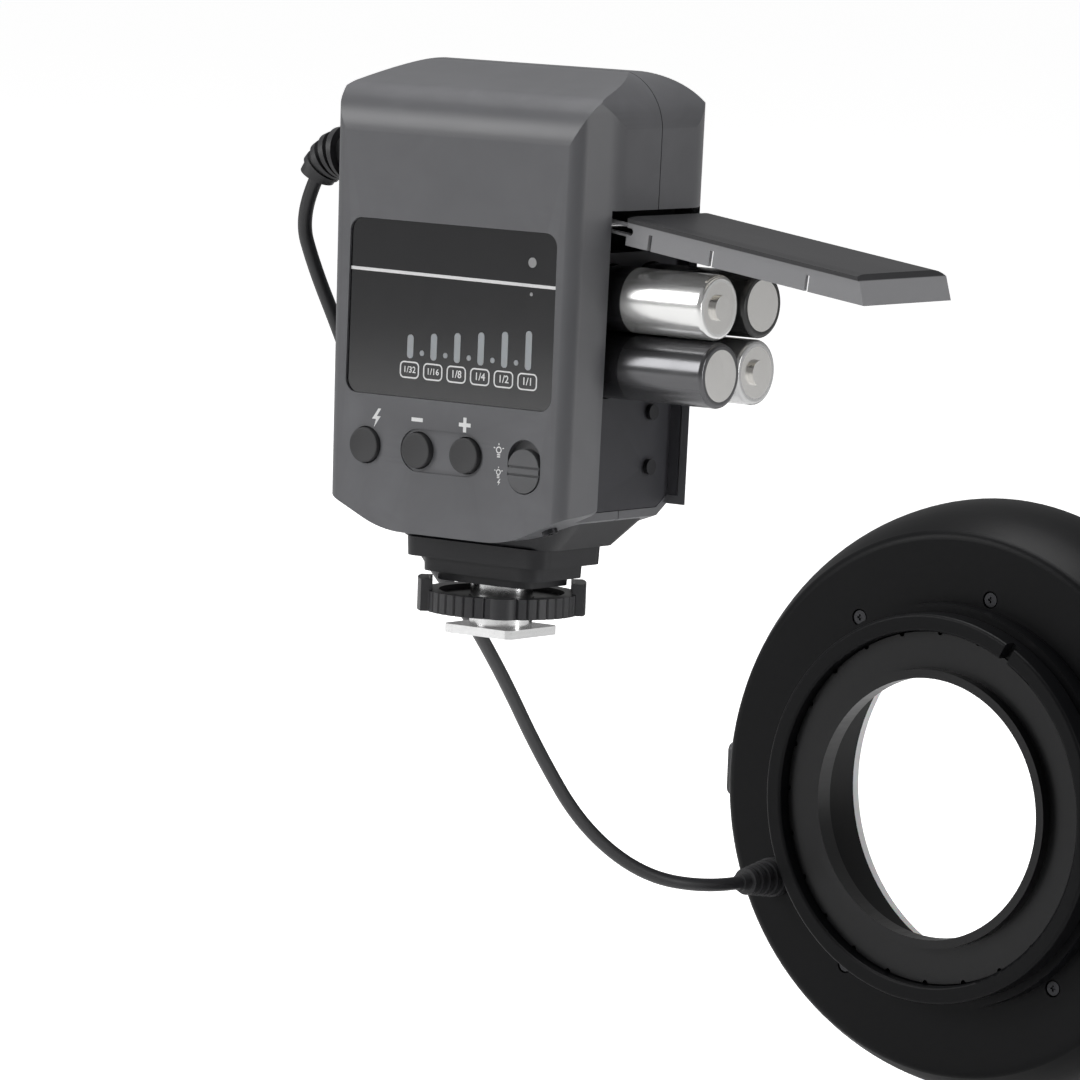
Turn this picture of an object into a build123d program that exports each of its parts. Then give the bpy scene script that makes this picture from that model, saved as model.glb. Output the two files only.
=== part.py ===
from build123d import *
import math
import os

os.makedirs("parts", exist_ok=True)

# A macro ring flash in millimetres. X points right as seen from behind, Y points
# forward to the subject and Z points up. The origin is the centre of the underside
# of the hot shoe foot. The control unit stands on that foot, the ring head is
# held in front of it at lens height, and a cord joins the two.

# Overall sizes of the control unit
unit_width = 73.0
unit_top_z = 124.7
unit_rear_y = -22.0
unit_front_y = 24.8
side_draft_deg = 0.9
casing_wall = 1.6
parting_y = 3.0
parting_gap = 0.25
cut_overrun = 2.0

# Outline of the casing in plan
rear_corner_width = 3.4
rear_corner_length = 10.5
rear_corner_radius = 3.5
side_blend_radius = 16.0
front_corner_radius = 9.5

# Outline of the casing from the side
rear_slope_z = 117.4
crown_y = 3.0
rear_top_radius = 11.0
crown_radius = 16.0
front_top_radius = 18.5
front_low_z = 33.0
front_low_y = 6.7
front_low_radius = 5.0

# Outline of the casing from behind
top_corner_radius = 13.0
crest_lift = 0.3
side_overlap = 0.05
side_top_z = 113.6
bottom_corner_z = 30.6
bottom_flat_z = 22.5
bottom_flat_half_width = 17.0
bottom_corner_radius = 3.5
bottom_blend_radius = 28.0

# Display panel and its light guides
panel_width = 56.5
panel_bottom_z = 52.0
panel_top_z = 90.3
panel_corner_radius = 3.0
panel_recess = 0.5
panel_flange = 1.2
panel_flange_thickness = 0.8
panel_fit = 0.1
bar_count = 6
bar_first_x = -11.0
bar_pitch = 6.44
bar_width = 1.8
bar_bottom_z = 60.5
bar_first_height = 5.3
bar_height_step = 0.65
dot_radius = 0.65
dot_z = 61.9
lamp_x = 21.4
ready_lamp_z = 83.7
ready_lamp_radius = 1.15
small_lamp_z = 76.9
small_lamp_radius = 0.45
guide_fit = 0.05

# Push buttons
button_radius = 3.85
button_hole_radius = 4.1
button_proud = 1.0
button_dish_radius = 22.0
button_dish_depth = 0.25
button_flange_radius = 4.8
button_flange_thickness = 0.8
button_flange_gap = 0.05
test_button_x = -22.0
minus_button_x = -7.6
plus_button_x = 5.6
button_row_z = 40.8
button_recess_half_height = 4.7
button_recess_depth = 0.35

# Slide switch
switch_x = 21.5
switch_slot_z = 39.7
switch_slot_width = 8.8
switch_slot_height = 11.8
switch_knob_width = 8.3
switch_knob_height = 9.5
switch_knob_proud = 0.3
switch_slot_gap = 0.25
switch_groove_width = 0.5
switch_groove_depth = 0.4
switch_groove_spacing = 1.7
switch_plate_width = 11.6
switch_plate_height = 14.6
switch_plate_thickness = 0.8
switch_stem_width = 3.0
switch_stem_length = 0.8

# Circuit board of the control unit
board_front_y = -14.2
board_thickness = 1.6
board_width = 61.0
board_bottom_z = 33.5
board_top_z = 112.0
tact_width = 6.0
tact_height = 2.2
tact_plunger_radius = 1.7
tact_plunger_length = 0.6

# Flash capacitor
capacitor_radius = 8.5
capacitor_length = 42.0
capacitor_x = -6.0
capacitor_z = 103.0
capacitor_collar_depth = 0.7
capacitor_collar_width = 1.6

# AA cells and the chamber that they slide in
cell_radius = 7.1
cell_length = 50.5
cell_nub_radius = 2.75
cell_nub_length = 1.0
cell_edge_radius = 0.9
cell_pitch = 14.5
cell_centre_y = 3.6
cell_centre_z = 68.85
cell_seated_end_x = 24.5
cell_drawn_end_x = 59.3
cell_clearance = 0.35
chamber_wall = 1.0
chamber_fit = 0.15
chamber_floor = 1.4
spring_length = 5.0
spring_base_radius = 4.6
spring_tip_radius = 2.4
spring_turn_count = 4
contact_gap = 0.3
contact_plate_thickness = 0.4
contact_plate_width = 9.0

# Battery door, its well in the casing and its hinge
door_open_droop_deg = 7.6
door_length = 63.0
door_latched_top_z = 93.1
door_rear_y = -12.5
door_front_y = 20.2
door_plate = 1.3
door_depth = 6.2
door_flange = 1.0
door_flange_inset = 0.3
door_end_slope = 2.6
door_gap = 0.35
hinge_depth = 3.2
hinge_lip_x = 39.8
hinge_lip_z = 94.6
hinge_pin_radius = 0.75
hinge_pin_inset = 0.4
hinge_fit = 0.05
hinge_arm_half_height = 1.35
hinge_ear_length = 3.4
hinge_ear_reach = 0.8
hinge_arm_thickness = 1.8
hinge_boss_gap = 0.35
hinge_boss_thickness = 1.6
hinge_boss_radius = 2.2
well_wall = 1.2
well_floor = 1.6
well_top_clearance = 0.35
flange_notch_width = 0.9
flange_notch_depth = 3.4
flange_notch_shares = (0.10, 0.36, 0.76)
door_rib_thickness = 0.8
door_rib_depth = 1.0
door_rib_offsets = (0, -14.8)
door_contact_height = 2.2
door_contact_radius = 1.6
chamber_screw_y = 12.6
chamber_screw_high_z = 50.6
chamber_screw_low_z = 38.6

# Screws that hold the shells together
screw_head_radius = 1.7
screw_head_height = 1.0
screw_shank_radius = 0.9
screw_shank_length = 5.0
screw_recess_radius = 0.75
screw_recess_depth = 0.5
screw_clearance = 0.15
casing_screw_x = 25.2
casing_screw_y = -17.0

# Base under the casing, in rounded steps
hull_top_z = 29.0
hull_top_half_width = 29.4
hull_top_half_depth = 17.4
hull_top_radius = 7.0
hull_bottom_half_width = 20.8
hull_bottom_half_depth = 12.9
hull_centre_y = 1.6
hull_bottom_radius = 4.5
step_heights = (4.2, 3.2, 1.8)
step_half_widths = (19.4, 16.0, 13.2)
step_half_depths = (12.0, 10.2, 8.8)
step_radius = 4.0
step_draft_deg = 3.0
hull_bottom_z = 20.6
stem_socket_depth = 4.0

# Hot shoe foot, lock ring, lock pin and centre contact
foot_width = 18.6
foot_depth = 18.0
foot_thickness = 1.95
foot_corner_chamfer = 1.2
foot_stem_radius = 6.9
lock_ring_bottom_z = 4.9
lock_ring_height = 4.5
lock_ring_radius = 17.0
lock_ring_bore_radius = 7.2
lock_ring_web_radius = 15.0
lock_ring_dish_depth = 1.2
lock_ring_lobe_radius = 3.6
lock_ring_lobe_reach = 0.9
lock_ring_lobe_turn_deg = 38.0
lock_ring_ear_top_z = 11.9
lock_ring_ear_reach = 1.5
lock_ring_ear_width = 10.5
lock_ring_ear_wall = 2.4
knurl_groove_count = 44
knurl_groove_size = 0.8
lock_pin_radius = 1.1
lock_pin_y = 5.1
lock_pin_reach = 1.5
lock_pin_length = 7.5
pin_hole_clearance = 0.1
contact_radius = 1.2
contact_reach = 0.4
contact_length = 5.0
contact_collar_radius = 2.0
contact_collar_thickness = 0.6
foot_insulator_radius = 3.6
insulator_height = 6.0
insulator_fit = 0.05
contact_seat_z = 1.0

# Cord and its two ribbed boots
cord_radius = 1.6
boot_y = -6.0
boot_z = 103.0
boot_base_radius = 6.4
boot_base_length = 2.2
boot_neck_radius = 4.0
boot_neck_length = 5.0
boot_bend_radius = 11.0
boot_bend_deg = 62.0
boot_rib_count = 4
boot_rib_start_deg = 8.0
boot_rib_pitch_deg = 12.5
boot_rib_arc_deg = 6.0
boot_rib_radius = 5.9
boot_rib_taper = 0.45
boot_flange_radius = 5.2
boot_hole_radius = 4.2
boot_seat_gap = 0.2
cord_lead_length = 10.0
cord_end_length = 12.0
cord_run_share = 0.45
cord_places = [
    (-53.4, -3.0, 76.5),
    (-49.4, 2.0, 62.0),
    (-47.4, 9.0, 46.0),
    (-47.8, 19.4, 29.6),
    (-51.0, 36.0, 12.0),
    (-55.0, 58.0, -4.0),
    (-60.0, 80.0, -22.0),
    (-64.0, 100.0, -42.0),
    (-63.5, 118.0, -62.0),
    (-58.0, 136.0, -75.0),
]
ring_boot_angle_deg = 205.0
ring_boot_rim_inset = 16.8
ring_boot_length = 15.0
ring_boot_radius = 4.8
ring_boot_tip_radius = 2.9
ring_boot_neck_radius = 3.4
ring_boot_flange_radius = 4.8
ring_boot_flange_length = 1.0
ring_boot_base_length = 2.4
ring_boot_rib_count = 4
ring_boot_rib_width = 1.6
ring_boot_groove_depth = 0.8

# Ring head, as radii about the lens axis and places along it
lens_axis_z = -55.0
ring_collar_rear_y = 169.5
ring_rear_y = 180.0
ring_front_y = 203.4
ring_bore_radius = 42.6
ring_collar_radius = 46.8
ring_lip_radius = 48.8
ring_lip_height = 4.6
ring_rear_radius = 65.2
ring_side_radius = 70.2
ring_side_y = 189.5
ring_rim_radius = 72.4
ring_wall = 2.0
ring_rear_round = 2.6
bezel_length = 2.9
bezel_width = 6.2
bezel_round = 0.9
bezel_spigot_length = 2.4
bezel_spigot_wall = 1.2
ring_outer_fit = 0.2
collar_notch_width = 2.6
collar_notch_depth = 3.2
collar_notch_angle_deg = 62.0
collar_bead_y = 176.6
collar_bead_height = 0.6
collar_bead_width = 1.0
collar_round = 0.8
diffuser_thickness = 2.6
diffuser_flange_width = 1.8
diffuser_flange_thickness = 1.1
diffuser_ridge_count = 5
diffuser_ridge_depth = 0.5
diffuser_ridge_pitch = 3.0
diffuser_first_ridge_radius = 46.4
reflector_rear_y = 187.0
reflector_inner_radius = 45.2
reflector_rim_gap = 3.2
reflector_front_y = 199.4
reflector_wall = 0.8
reflector_post_radius = 2.2
flash_tube_radius = 2.2
flash_tube_arc_deg = 146.0
flash_tube_y = 193.0
flash_tube_cap_radius = 2.7
flash_tube_cap_arc_deg = 4.0
tube_clip_half_width = 3.6
tube_clip_arc_deg = 3.0
focus_lamp_radius = 2.0
focus_lamp_angles_deg = (82.0, 98.0, 262.0, 278.0)
focus_lamp_base_radius = 2.5
focus_lamp_base_height = 1.0
focus_lamp_length = 6.6
ring_board_rear_y = 183.4
ring_board_thickness = 1.2
ring_board_inner_radius = 45.6
ring_board_outer_radius = 60.6
ring_screw_angles_deg = (80.0, 124.0, 236.0, 308.0)
ring_screw_distance = 51.2
ring_boss_radius = 2.6
ring_recess_radius = 2.1
ring_recess_depth = 1.2
ring_screw_reach = 5.2

# Adapter ring that screws into the lens
adapter_fit = 0.3
adapter_thread_radius = 33.5
adapter_bore_radius = 31.4
adapter_thread_length = 3.0
adapter_shoulder_y = 172.6
adapter_shoulder_thickness = 2.0
adapter_rim_wall = 1.6
adapter_length = 7.0
adapter_groove_depth = 0.7
adapter_groove_width = 1.8
adapter_grip_count = 24
adapter_grip_radius = 0.7

# Release buttons in the ring's sides
release_width = 13.0
release_length = 8.0
release_centre_y = 191.5
release_proud = 1.2
release_radius = 2.0
release_gap = 0.3
release_flange_overlap = 1.0
release_flange_thickness = 0.8
release_flange_depth = 6.5

# Values worked out from the sizes above
side_slope = math.tan(math.radians(side_draft_deg))
half_width = unit_width / 2
casing_foot_z = bottom_flat_z - cut_overrun
casing_crest_z = unit_top_z + cut_overrun
unit_depth = unit_front_y - unit_rear_y
rear_inner_y = unit_rear_y + casing_wall
panel_height = panel_top_z - panel_bottom_z
panel_centre_z = (panel_top_z + panel_bottom_z) / 2
board_rear_y = board_front_y - board_thickness
tact_face_y = board_rear_y - tact_height
door_u = Vector(math.cos(math.radians(door_open_droop_deg)), 0, -math.sin(math.radians(door_open_droop_deg)))
door_v = Vector(-door_u.Z, 0, door_u.X)


def side_x(z):
    """Half width of the drafted casing at a height."""
    return half_width - (side_top_z - z) * side_slope


# The hinge pin lies at one depth under the door's outer face, both in the closed
# door and in the open one, so it is on the line that halves the angle of the two.
hinge_x = side_x(hinge_lip_z) - hinge_depth / math.cos(math.radians(side_draft_deg))
hinge_lip_reach = (hinge_lip_x - hinge_x - door_v.X * hinge_depth) / door_u.X
hinge_z = hinge_lip_z - door_u.Z * hinge_lip_reach - door_v.Z * hinge_depth
door_slide = door_latched_top_z - hinge_z + hinge_lip_reach
door_swing_deg = 90 + side_draft_deg - door_open_droop_deg
cell_stroke = cell_drawn_end_x - cell_seated_end_x

print("hinge pin at", round(hinge_x, 3), round(hinge_z, 3))
print("door swing", round(door_swing_deg, 2), "degrees, door slide", round(door_slide, 3))
cell_ratio = cell_stroke / math.radians(door_swing_deg)
print("cell stroke", round(cell_stroke, 3), "ratio", round(cell_ratio, 4), "per radian")


def casing_plan(half, inset):
    """Plan outline of the casing: slim bevels behind and round corners in front."""
    with BuildSketch() as plan:
        with BuildLine():
            FilletPolyline(
                (half - rear_corner_width, unit_rear_y),
                (half, unit_rear_y + rear_corner_length),
                (half, unit_front_y),
                (-half, unit_front_y),
                (-half, unit_rear_y + rear_corner_length),
                (-half + rear_corner_width, unit_rear_y),
                radius=[
                    rear_corner_radius,
                    side_blend_radius,
                    front_corner_radius,
                    front_corner_radius,
                    side_blend_radius,
                    rear_corner_radius,
                ],
                close=True,
            )
        make_face()
        if inset:
            offset(amount=-inset, kind=Kind.INTERSECTION)
    return plan.sketch


def casing_side(inset):
    """Side outline of the casing: a sloping rear crown and a round front top."""
    with BuildSketch() as side:
        with BuildLine():
            FilletPolyline(
                (unit_rear_y, casing_foot_z),
                (unit_rear_y, rear_slope_z),
                (crown_y, unit_top_z),
                (unit_front_y, unit_top_z),
                (unit_front_y, front_low_z),
                (front_low_y, casing_foot_z),
                radius=[0, rear_top_radius, crown_radius, front_top_radius, front_low_radius, 0],
                close=True,
            )
        make_face()
        if inset:
            offset(amount=-inset, kind=Kind.INTERSECTION)
    return side.sketch


def casing_back(inset):
    """Rear outline of the casing: round top corners and a shallow keel below."""
    crest_z = unit_top_z + crest_lift
    low_side = side_x(bottom_corner_z) + side_overlap
    high_side = side_x(crest_z) + side_overlap
    with BuildSketch() as back:
        with BuildLine():
            FilletPolyline(
                (high_side, crest_z),
                (low_side, bottom_corner_z),
                (bottom_flat_half_width, bottom_flat_z),
                (-bottom_flat_half_width, bottom_flat_z),
                (-low_side, bottom_corner_z),
                (-high_side, crest_z),
                radius=[
                    top_corner_radius,
                    bottom_corner_radius,
                    bottom_blend_radius,
                    bottom_blend_radius,
                    bottom_corner_radius,
                    top_corner_radius,
                ],
                close=True,
            )
        make_face()
        if inset:
            offset(amount=-inset, kind=Kind.INTERSECTION)
    return back.sketch


def casing_block(inset):
    """The casing as one closed form, or its hollow when it is inset by the wall."""
    with BuildPart() as block:
        with BuildSketch(Plane.XY.offset(casing_foot_z)):
            add(casing_plan(side_x(casing_foot_z), inset))
        with BuildSketch(Plane.XY.offset(casing_crest_z)):
            add(casing_plan(side_x(casing_crest_z), inset))
        loft(ruled=True)
        with BuildSketch(Plane.YZ):
            add(casing_side(inset))
        extrude(amount=unit_width, both=True, mode=Mode.INTERSECT)
        with BuildSketch(Plane.XZ):
            add(casing_back(inset))
        extrude(amount=unit_depth, both=True, mode=Mode.INTERSECT)
    return block.part


def well_outline(depth, top_lift):
    """Door well in the X-Z plane: open below, its top edge along the open door."""
    top_v = hinge_depth + top_lift
    inner_x = side_x(hinge_z) - depth
    outer_x = half_width + cut_overrun + door_depth
    inner_low_x = side_x(casing_foot_z) - depth
    with BuildSketch() as outline:
        with BuildLine():
            Polyline(
                (outer_x, hinge_z + (top_v - (outer_x - hinge_x) * door_v.X) / door_v.Z),
                (inner_x, hinge_z + (top_v - (inner_x - hinge_x) * door_v.X) / door_v.Z),
                (inner_x, hinge_z),
                (inner_low_x, casing_foot_z),
                (outer_x, casing_foot_z),
                close=True,
            )
        make_face()
    return outline.sketch


casing_form = casing_block(0)
casing_hollow = casing_block(casing_wall)
chamber_limit = casing_block(casing_wall + chamber_fit)
well_depth = door_depth + door_gap
well_rear_y = door_rear_y - door_gap
well_front_y = door_front_y + door_gap

with BuildPart() as casing:
    add(casing_form)
    add(casing_hollow, mode=Mode.SUBTRACT)
    with BuildSketch(Plane.XZ.offset(-well_rear_y)):
        add(well_outline(well_depth, well_top_clearance))
    extrude(amount=-(well_front_y - well_rear_y), mode=Mode.SUBTRACT)

# Rear casing with its windows, button holes and switch slot
with BuildPart() as rear_casing:
    add(casing.part)
    split(bisect_by=Plane.XZ.offset(-parting_y), keep=Keep.TOP)
    with BuildSketch(Plane.XZ.offset(-unit_rear_y)):
        with Locations((0, panel_centre_z)):
            RectangleRounded(panel_width, panel_height, panel_corner_radius)
        with Locations(
            (test_button_x, button_row_z), (minus_button_x, button_row_z), (plus_button_x, button_row_z)
        ):
            Circle(button_hole_radius)
        with Locations((switch_x, switch_slot_z)):
            SlotOverall(switch_slot_height, switch_slot_width, rotation=90)
    extrude(amount=-(casing_wall + cut_overrun), mode=Mode.SUBTRACT)
    with BuildSketch(Plane.XZ.offset(-unit_rear_y)):
        with Locations(((minus_button_x + plus_button_x) / 2, button_row_z)):
            SlotCenterToCenter(plus_button_x - minus_button_x, 2 * button_recess_half_height)
    extrude(amount=-button_recess_depth, mode=Mode.SUBTRACT)
    with BuildSketch(Plane.YZ):
        with Locations((boot_y, boot_z)):
            Circle(boot_hole_radius)
    extrude(amount=-unit_width, mode=Mode.SUBTRACT)
rear_casing.part.label = "rear_casing"
export_step(rear_casing.part, "parts/rear_casing.step")

# Front casing, plain towards the subject
with BuildPart() as front_casing:
    add(casing.part)
    split(bisect_by=Plane.XZ.offset(-parting_y - parting_gap), keep=Keep.BOTTOM)
front_casing.part.label = "front_casing"
export_step(front_casing.part, "parts/front_casing.step")


def guide_outlines(growth):
    """Power level bars and half-step dots as seen on the panel."""
    with BuildSketch() as guides:
        for index in range(bar_count):
            bar_height = bar_first_height + index * bar_height_step
            with Locations((bar_first_x + index * bar_pitch, bar_bottom_z + bar_height / 2)):
                SlotOverall(bar_height + 2 * growth, bar_width + 2 * growth, rotation=90)
        for index in range(bar_count - 1):
            with Locations((bar_first_x + (index + 1 / 2) * bar_pitch, dot_z)):
                Circle(dot_radius + growth)
    return guides.sketch


def lamp_outlines(growth):
    """The ready lamp and the small sensor dot under the dividing line."""
    with BuildSketch() as lamps:
        with Locations((lamp_x, ready_lamp_z)):
            Circle(ready_lamp_radius + growth)
        with Locations((lamp_x, small_lamp_z)):
            Circle(small_lamp_radius + growth)
    return lamps.sketch


panel_face_y = unit_rear_y + panel_recess
panel_depth = casing_wall - panel_recess + panel_flange_thickness

# Display panel, held by its flange behind the window
with BuildPart() as display_panel:
    with BuildSketch(Plane.XZ.offset(-panel_face_y)):
        with Locations((0, panel_centre_z)):
            RectangleRounded(
                panel_width - 2 * panel_fit, panel_height - 2 * panel_fit, panel_corner_radius - panel_fit
            )
    extrude(amount=-(casing_wall - panel_recess))
    with BuildSketch(Plane.XZ.offset(-rear_inner_y)):
        with Locations((0, panel_centre_z)):
            RectangleRounded(
                panel_width + 2 * panel_flange, panel_height + 2 * panel_flange, panel_corner_radius
            )
    extrude(amount=-panel_flange_thickness)
    with BuildSketch(Plane.XZ.offset(-panel_face_y)):
        add(guide_outlines(0))
        add(lamp_outlines(0))
    extrude(amount=-panel_depth, mode=Mode.SUBTRACT)
display_panel.part.label = "display_panel"
export_step(display_panel.part, "parts/display_panel.step")

with BuildPart() as level_guides:
    with BuildSketch(Plane.XZ.offset(-panel_face_y)):
        add(guide_outlines(-guide_fit))
    extrude(amount=-panel_depth)
level_guides.part.label = "level_guides"
export_step(level_guides.part, "parts/level_guides.step")

with BuildPart() as status_lamps:
    with BuildSketch(Plane.XZ.offset(-panel_face_y)):
        add(lamp_outlines(-guide_fit))
    extrude(amount=-panel_depth)
status_lamps.part.label = "status_lamps"
export_step(status_lamps.part, "parts/status_lamps.step")

# Circuit board with the switches that the buttons press
with BuildPart() as circuit_board:
    with BuildSketch(Plane.XZ.offset(-board_front_y)):
        with Locations((0, (board_top_z + board_bottom_z) / 2)):
            RectangleRounded(board_width, board_top_z - board_bottom_z, panel_corner_radius)
    extrude(amount=board_thickness)
    with BuildSketch(Plane.XZ.offset(-board_rear_y)):
        with Locations(
            (test_button_x, button_row_z),
            (minus_button_x, button_row_z),
            (plus_button_x, button_row_z),
            (switch_x, switch_slot_z),
        ):
            Rectangle(tact_width, tact_width)
    extrude(amount=tact_height)
    with BuildSketch(Plane.XZ.offset(-tact_face_y)):
        with Locations(
            (test_button_x, button_row_z), (minus_button_x, button_row_z), (plus_button_x, button_row_z)
        ):
            Circle(tact_plunger_radius)
    extrude(amount=tact_plunger_length)
circuit_board.part.label = "circuit_board"
export_step(circuit_board.part, "parts/circuit_board.step")

# Push buttons: a dished cap and the flange that keeps it behind the casing
button_places = {"test_button": test_button_x, "minus_button": minus_button_x, "plus_button": plus_button_x}
for button_name, button_x in button_places.items():
    with BuildPart() as button:
        with BuildSketch(Plane.XZ.offset(-(unit_rear_y - button_proud))):
            with Locations((button_x, button_row_z)):
                Circle(button_radius)
        extrude(amount=-(casing_wall + button_proud + button_flange_gap))
        fillet(button.edges().sort_by(Axis.Y)[0], button_dish_depth)
        with BuildSketch(Plane.XZ.offset(-(rear_inner_y + button_flange_gap))):
            with Locations((button_x, button_row_z)):
                Circle(button_flange_radius)
        extrude(amount=-button_flange_thickness)
        dish_y = unit_rear_y - button_proud - button_dish_radius + button_dish_depth
        with Locations((button_x, dish_y, button_row_z)):
            Sphere(button_dish_radius, mode=Mode.SUBTRACT)
    button.part.label = button_name
    export_step(button.part, "parts/" + button_name + ".step")

# Slide switch: a grooved knob in the slot, on a plate that closes the slot behind it
switch_low_z = switch_slot_z - switch_slot_height / 2
switch_knob_z = switch_low_z + switch_slot_gap + switch_knob_height / 2
switch_travel = switch_slot_height - switch_knob_height - 2 * switch_slot_gap
print("switch travel", round(switch_travel, 3))
with BuildPart() as lamp_switch:
    with BuildSketch(Plane.XZ.offset(-(unit_rear_y - switch_knob_proud))):
        with Locations((switch_x, switch_knob_z)):
            SlotOverall(switch_knob_height, switch_knob_width, rotation=90)
    extrude(amount=-(casing_wall + switch_knob_proud + button_flange_gap))
    with BuildSketch(Plane.XZ.offset(-(unit_rear_y - switch_knob_proud))):
        with Locations((switch_x, switch_knob_z)):
            with GridLocations(0, switch_groove_spacing, 1, 2):
                Rectangle(switch_knob_width, switch_groove_width)
    extrude(amount=-switch_groove_depth, mode=Mode.SUBTRACT)
    with BuildSketch(Plane.XZ.offset(-(rear_inner_y + button_flange_gap))):
        with Locations((switch_x, switch_knob_z)):
            Rectangle(switch_plate_width, switch_plate_height)
    extrude(amount=-switch_plate_thickness)
    with BuildSketch(Plane.XZ.offset(-(rear_inner_y + button_flange_gap + switch_plate_thickness))):
        with Locations((switch_x, switch_knob_z)):
            Rectangle(switch_stem_width, switch_stem_width)
    extrude(amount=-switch_stem_length)
lamp_switch.part.label = "lamp_switch"
export_step(lamp_switch.part, "parts/lamp_switch.step")

# Flash capacitor, a can with a rolled collar, lying against the board
capacitor_y = board_front_y + capacitor_radius + guide_fit
with BuildPart() as flash_capacitor:
    with BuildSketch(Plane.YZ.offset(capacitor_x - capacitor_length / 2)):
        with Locations((capacitor_y, capacitor_z)):
            Circle(capacitor_radius)
    extrude(amount=capacitor_length)
    with BuildSketch(Plane.YZ.offset(capacitor_x - capacitor_length / 2 + 2 * capacitor_collar_width)):
        with Locations((capacitor_y, capacitor_z)):
            Circle(capacitor_radius)
            Circle(capacitor_radius - capacitor_collar_depth, mode=Mode.SUBTRACT)
    extrude(amount=capacitor_collar_width, mode=Mode.SUBTRACT)
flash_capacitor.part.label = "flash_capacitor"
export_step(flash_capacitor.part, "parts/flash_capacitor.step")

# AA cells, two by two; the near one of the upper pair has its nub outwards
row_offset = cell_pitch / 2
cell_places = {
    "cell_upper_near": (-row_offset, row_offset, True),
    "cell_upper_far": (row_offset, row_offset, False),
    "cell_lower_near": (-row_offset, -row_offset, False),
    "cell_lower_far": (row_offset, -row_offset, True),
}
cell_inner_x = cell_drawn_end_x - cell_length
for cell_name, (cell_y, cell_z, nub_out) in cell_places.items():
    can_start_x = cell_inner_x if nub_out else cell_inner_x + cell_nub_length
    nub_start_x = cell_drawn_end_x - cell_nub_length if nub_out else cell_inner_x
    with BuildPart() as cell:
        with BuildSketch(Plane.YZ.offset(can_start_x)):
            with Locations((cell_centre_y + cell_y, cell_centre_z + cell_z)):
                Circle(cell_radius)
        extrude(amount=cell_length - cell_nub_length)
        fillet(cell.edges().filter_by(GeomType.CIRCLE), cell_edge_radius)
        with BuildSketch(Plane.YZ.offset(nub_start_x)):
            with Locations((cell_centre_y + cell_y, cell_centre_z + cell_z)):
                Circle(cell_nub_radius)
        extrude(amount=cell_nub_length)
    cell.part.label = cell_name
    export_step(cell.part, "parts/" + cell_name + ".step")

# Battery chamber: a scalloped cradle for the cells behind a ribbed door well
bore_radius = cell_radius + cell_clearance
cradle_half = row_offset + bore_radius + chamber_wall
cell_seated_inner_x = cell_seated_end_x - cell_length
chamber_back_x = cell_seated_inner_x - contact_gap - spring_length
cradle_mouth_x = side_x(cell_centre_z - cradle_half) - well_depth - well_floor / 2
well_floor_top_z = cell_centre_z + cradle_half + well_wall
arm_near_y = door_rear_y + door_flange_inset + door_flange
arm_far_y = door_front_y - door_flange_inset - door_flange - hinge_arm_thickness
bracket_near_y = arm_far_y - hinge_boss_gap - hinge_boss_thickness
pin_rear_y = well_rear_y - well_wall + hinge_pin_inset
pin_front_y = arm_far_y + hinge_arm_thickness
with BuildPart() as battery_chamber:
    with BuildSketch(Plane.XZ.offset(-(well_rear_y - well_wall))):
        add(well_outline(well_depth + well_floor, well_top_clearance))
    extrude(amount=-(well_front_y - well_rear_y + 2 * well_wall))
    add(chamber_limit, mode=Mode.INTERSECT)
    with BuildSketch(Plane.XZ.offset(-well_rear_y)):
        add(well_outline(well_depth, well_top_clearance))
    extrude(amount=-(well_front_y - well_rear_y), mode=Mode.SUBTRACT)
    with BuildSketch(Plane.YZ.offset(cradle_mouth_x - well_depth)):
        with Locations(((well_rear_y + well_front_y) / 2, well_floor_top_z + unit_depth / 2)):
            Rectangle(well_front_y - well_rear_y, unit_depth)
    extrude(amount=unit_depth, mode=Mode.SUBTRACT)
    with BuildSketch(Plane.YZ.offset(chamber_back_x - chamber_floor)):
        with Locations((cell_centre_y, cell_centre_z)):
            Rectangle(2 * cradle_half, 2 * cradle_half)
    extrude(amount=cradle_mouth_x - chamber_back_x + chamber_floor)
    with BuildSketch(Plane.YZ.offset(chamber_back_x)):
        with Locations((cell_centre_y, cell_centre_z)):
            Rectangle(cell_pitch, cell_pitch)
            with GridLocations(cell_pitch, cell_pitch, 2, 2):
                Circle(bore_radius)
    extrude(amount=unit_width, mode=Mode.SUBTRACT)
    with BuildSketch(Plane.XZ.offset(-bracket_near_y)):
        with BuildLine():
            Polyline(
                (side_x(hinge_z) - well_depth - well_floor, well_floor_top_z),
                (hinge_x + hinge_boss_radius - hinge_pin_radius, well_floor_top_z),
                (hinge_x + hinge_boss_radius - hinge_pin_radius, hinge_z),
                (hinge_x - hinge_boss_radius, hinge_z),
                close=True,
            )
        make_face()
        with Locations((hinge_x, hinge_z)):
            Circle(hinge_boss_radius - hinge_pin_radius)
    extrude(amount=-hinge_boss_thickness)
    with BuildSketch(Plane.XZ.offset(-pin_rear_y)):
        with Locations((hinge_x, hinge_z)):
            Circle(hinge_pin_radius + hinge_fit)
    extrude(amount=-(pin_front_y - pin_rear_y), mode=Mode.SUBTRACT)
    with BuildSketch(Plane.YZ.offset(side_x(chamber_screw_low_z) - well_depth - well_floor)):
        with Locations((chamber_screw_y, chamber_screw_high_z), (chamber_screw_y, chamber_screw_low_z)):
            Circle(screw_shank_radius + screw_clearance)
    extrude(amount=unit_width, mode=Mode.SUBTRACT)
battery_chamber.part.label = "battery_chamber"
export_step(battery_chamber.part, "parts/battery_chamber.step")

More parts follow.
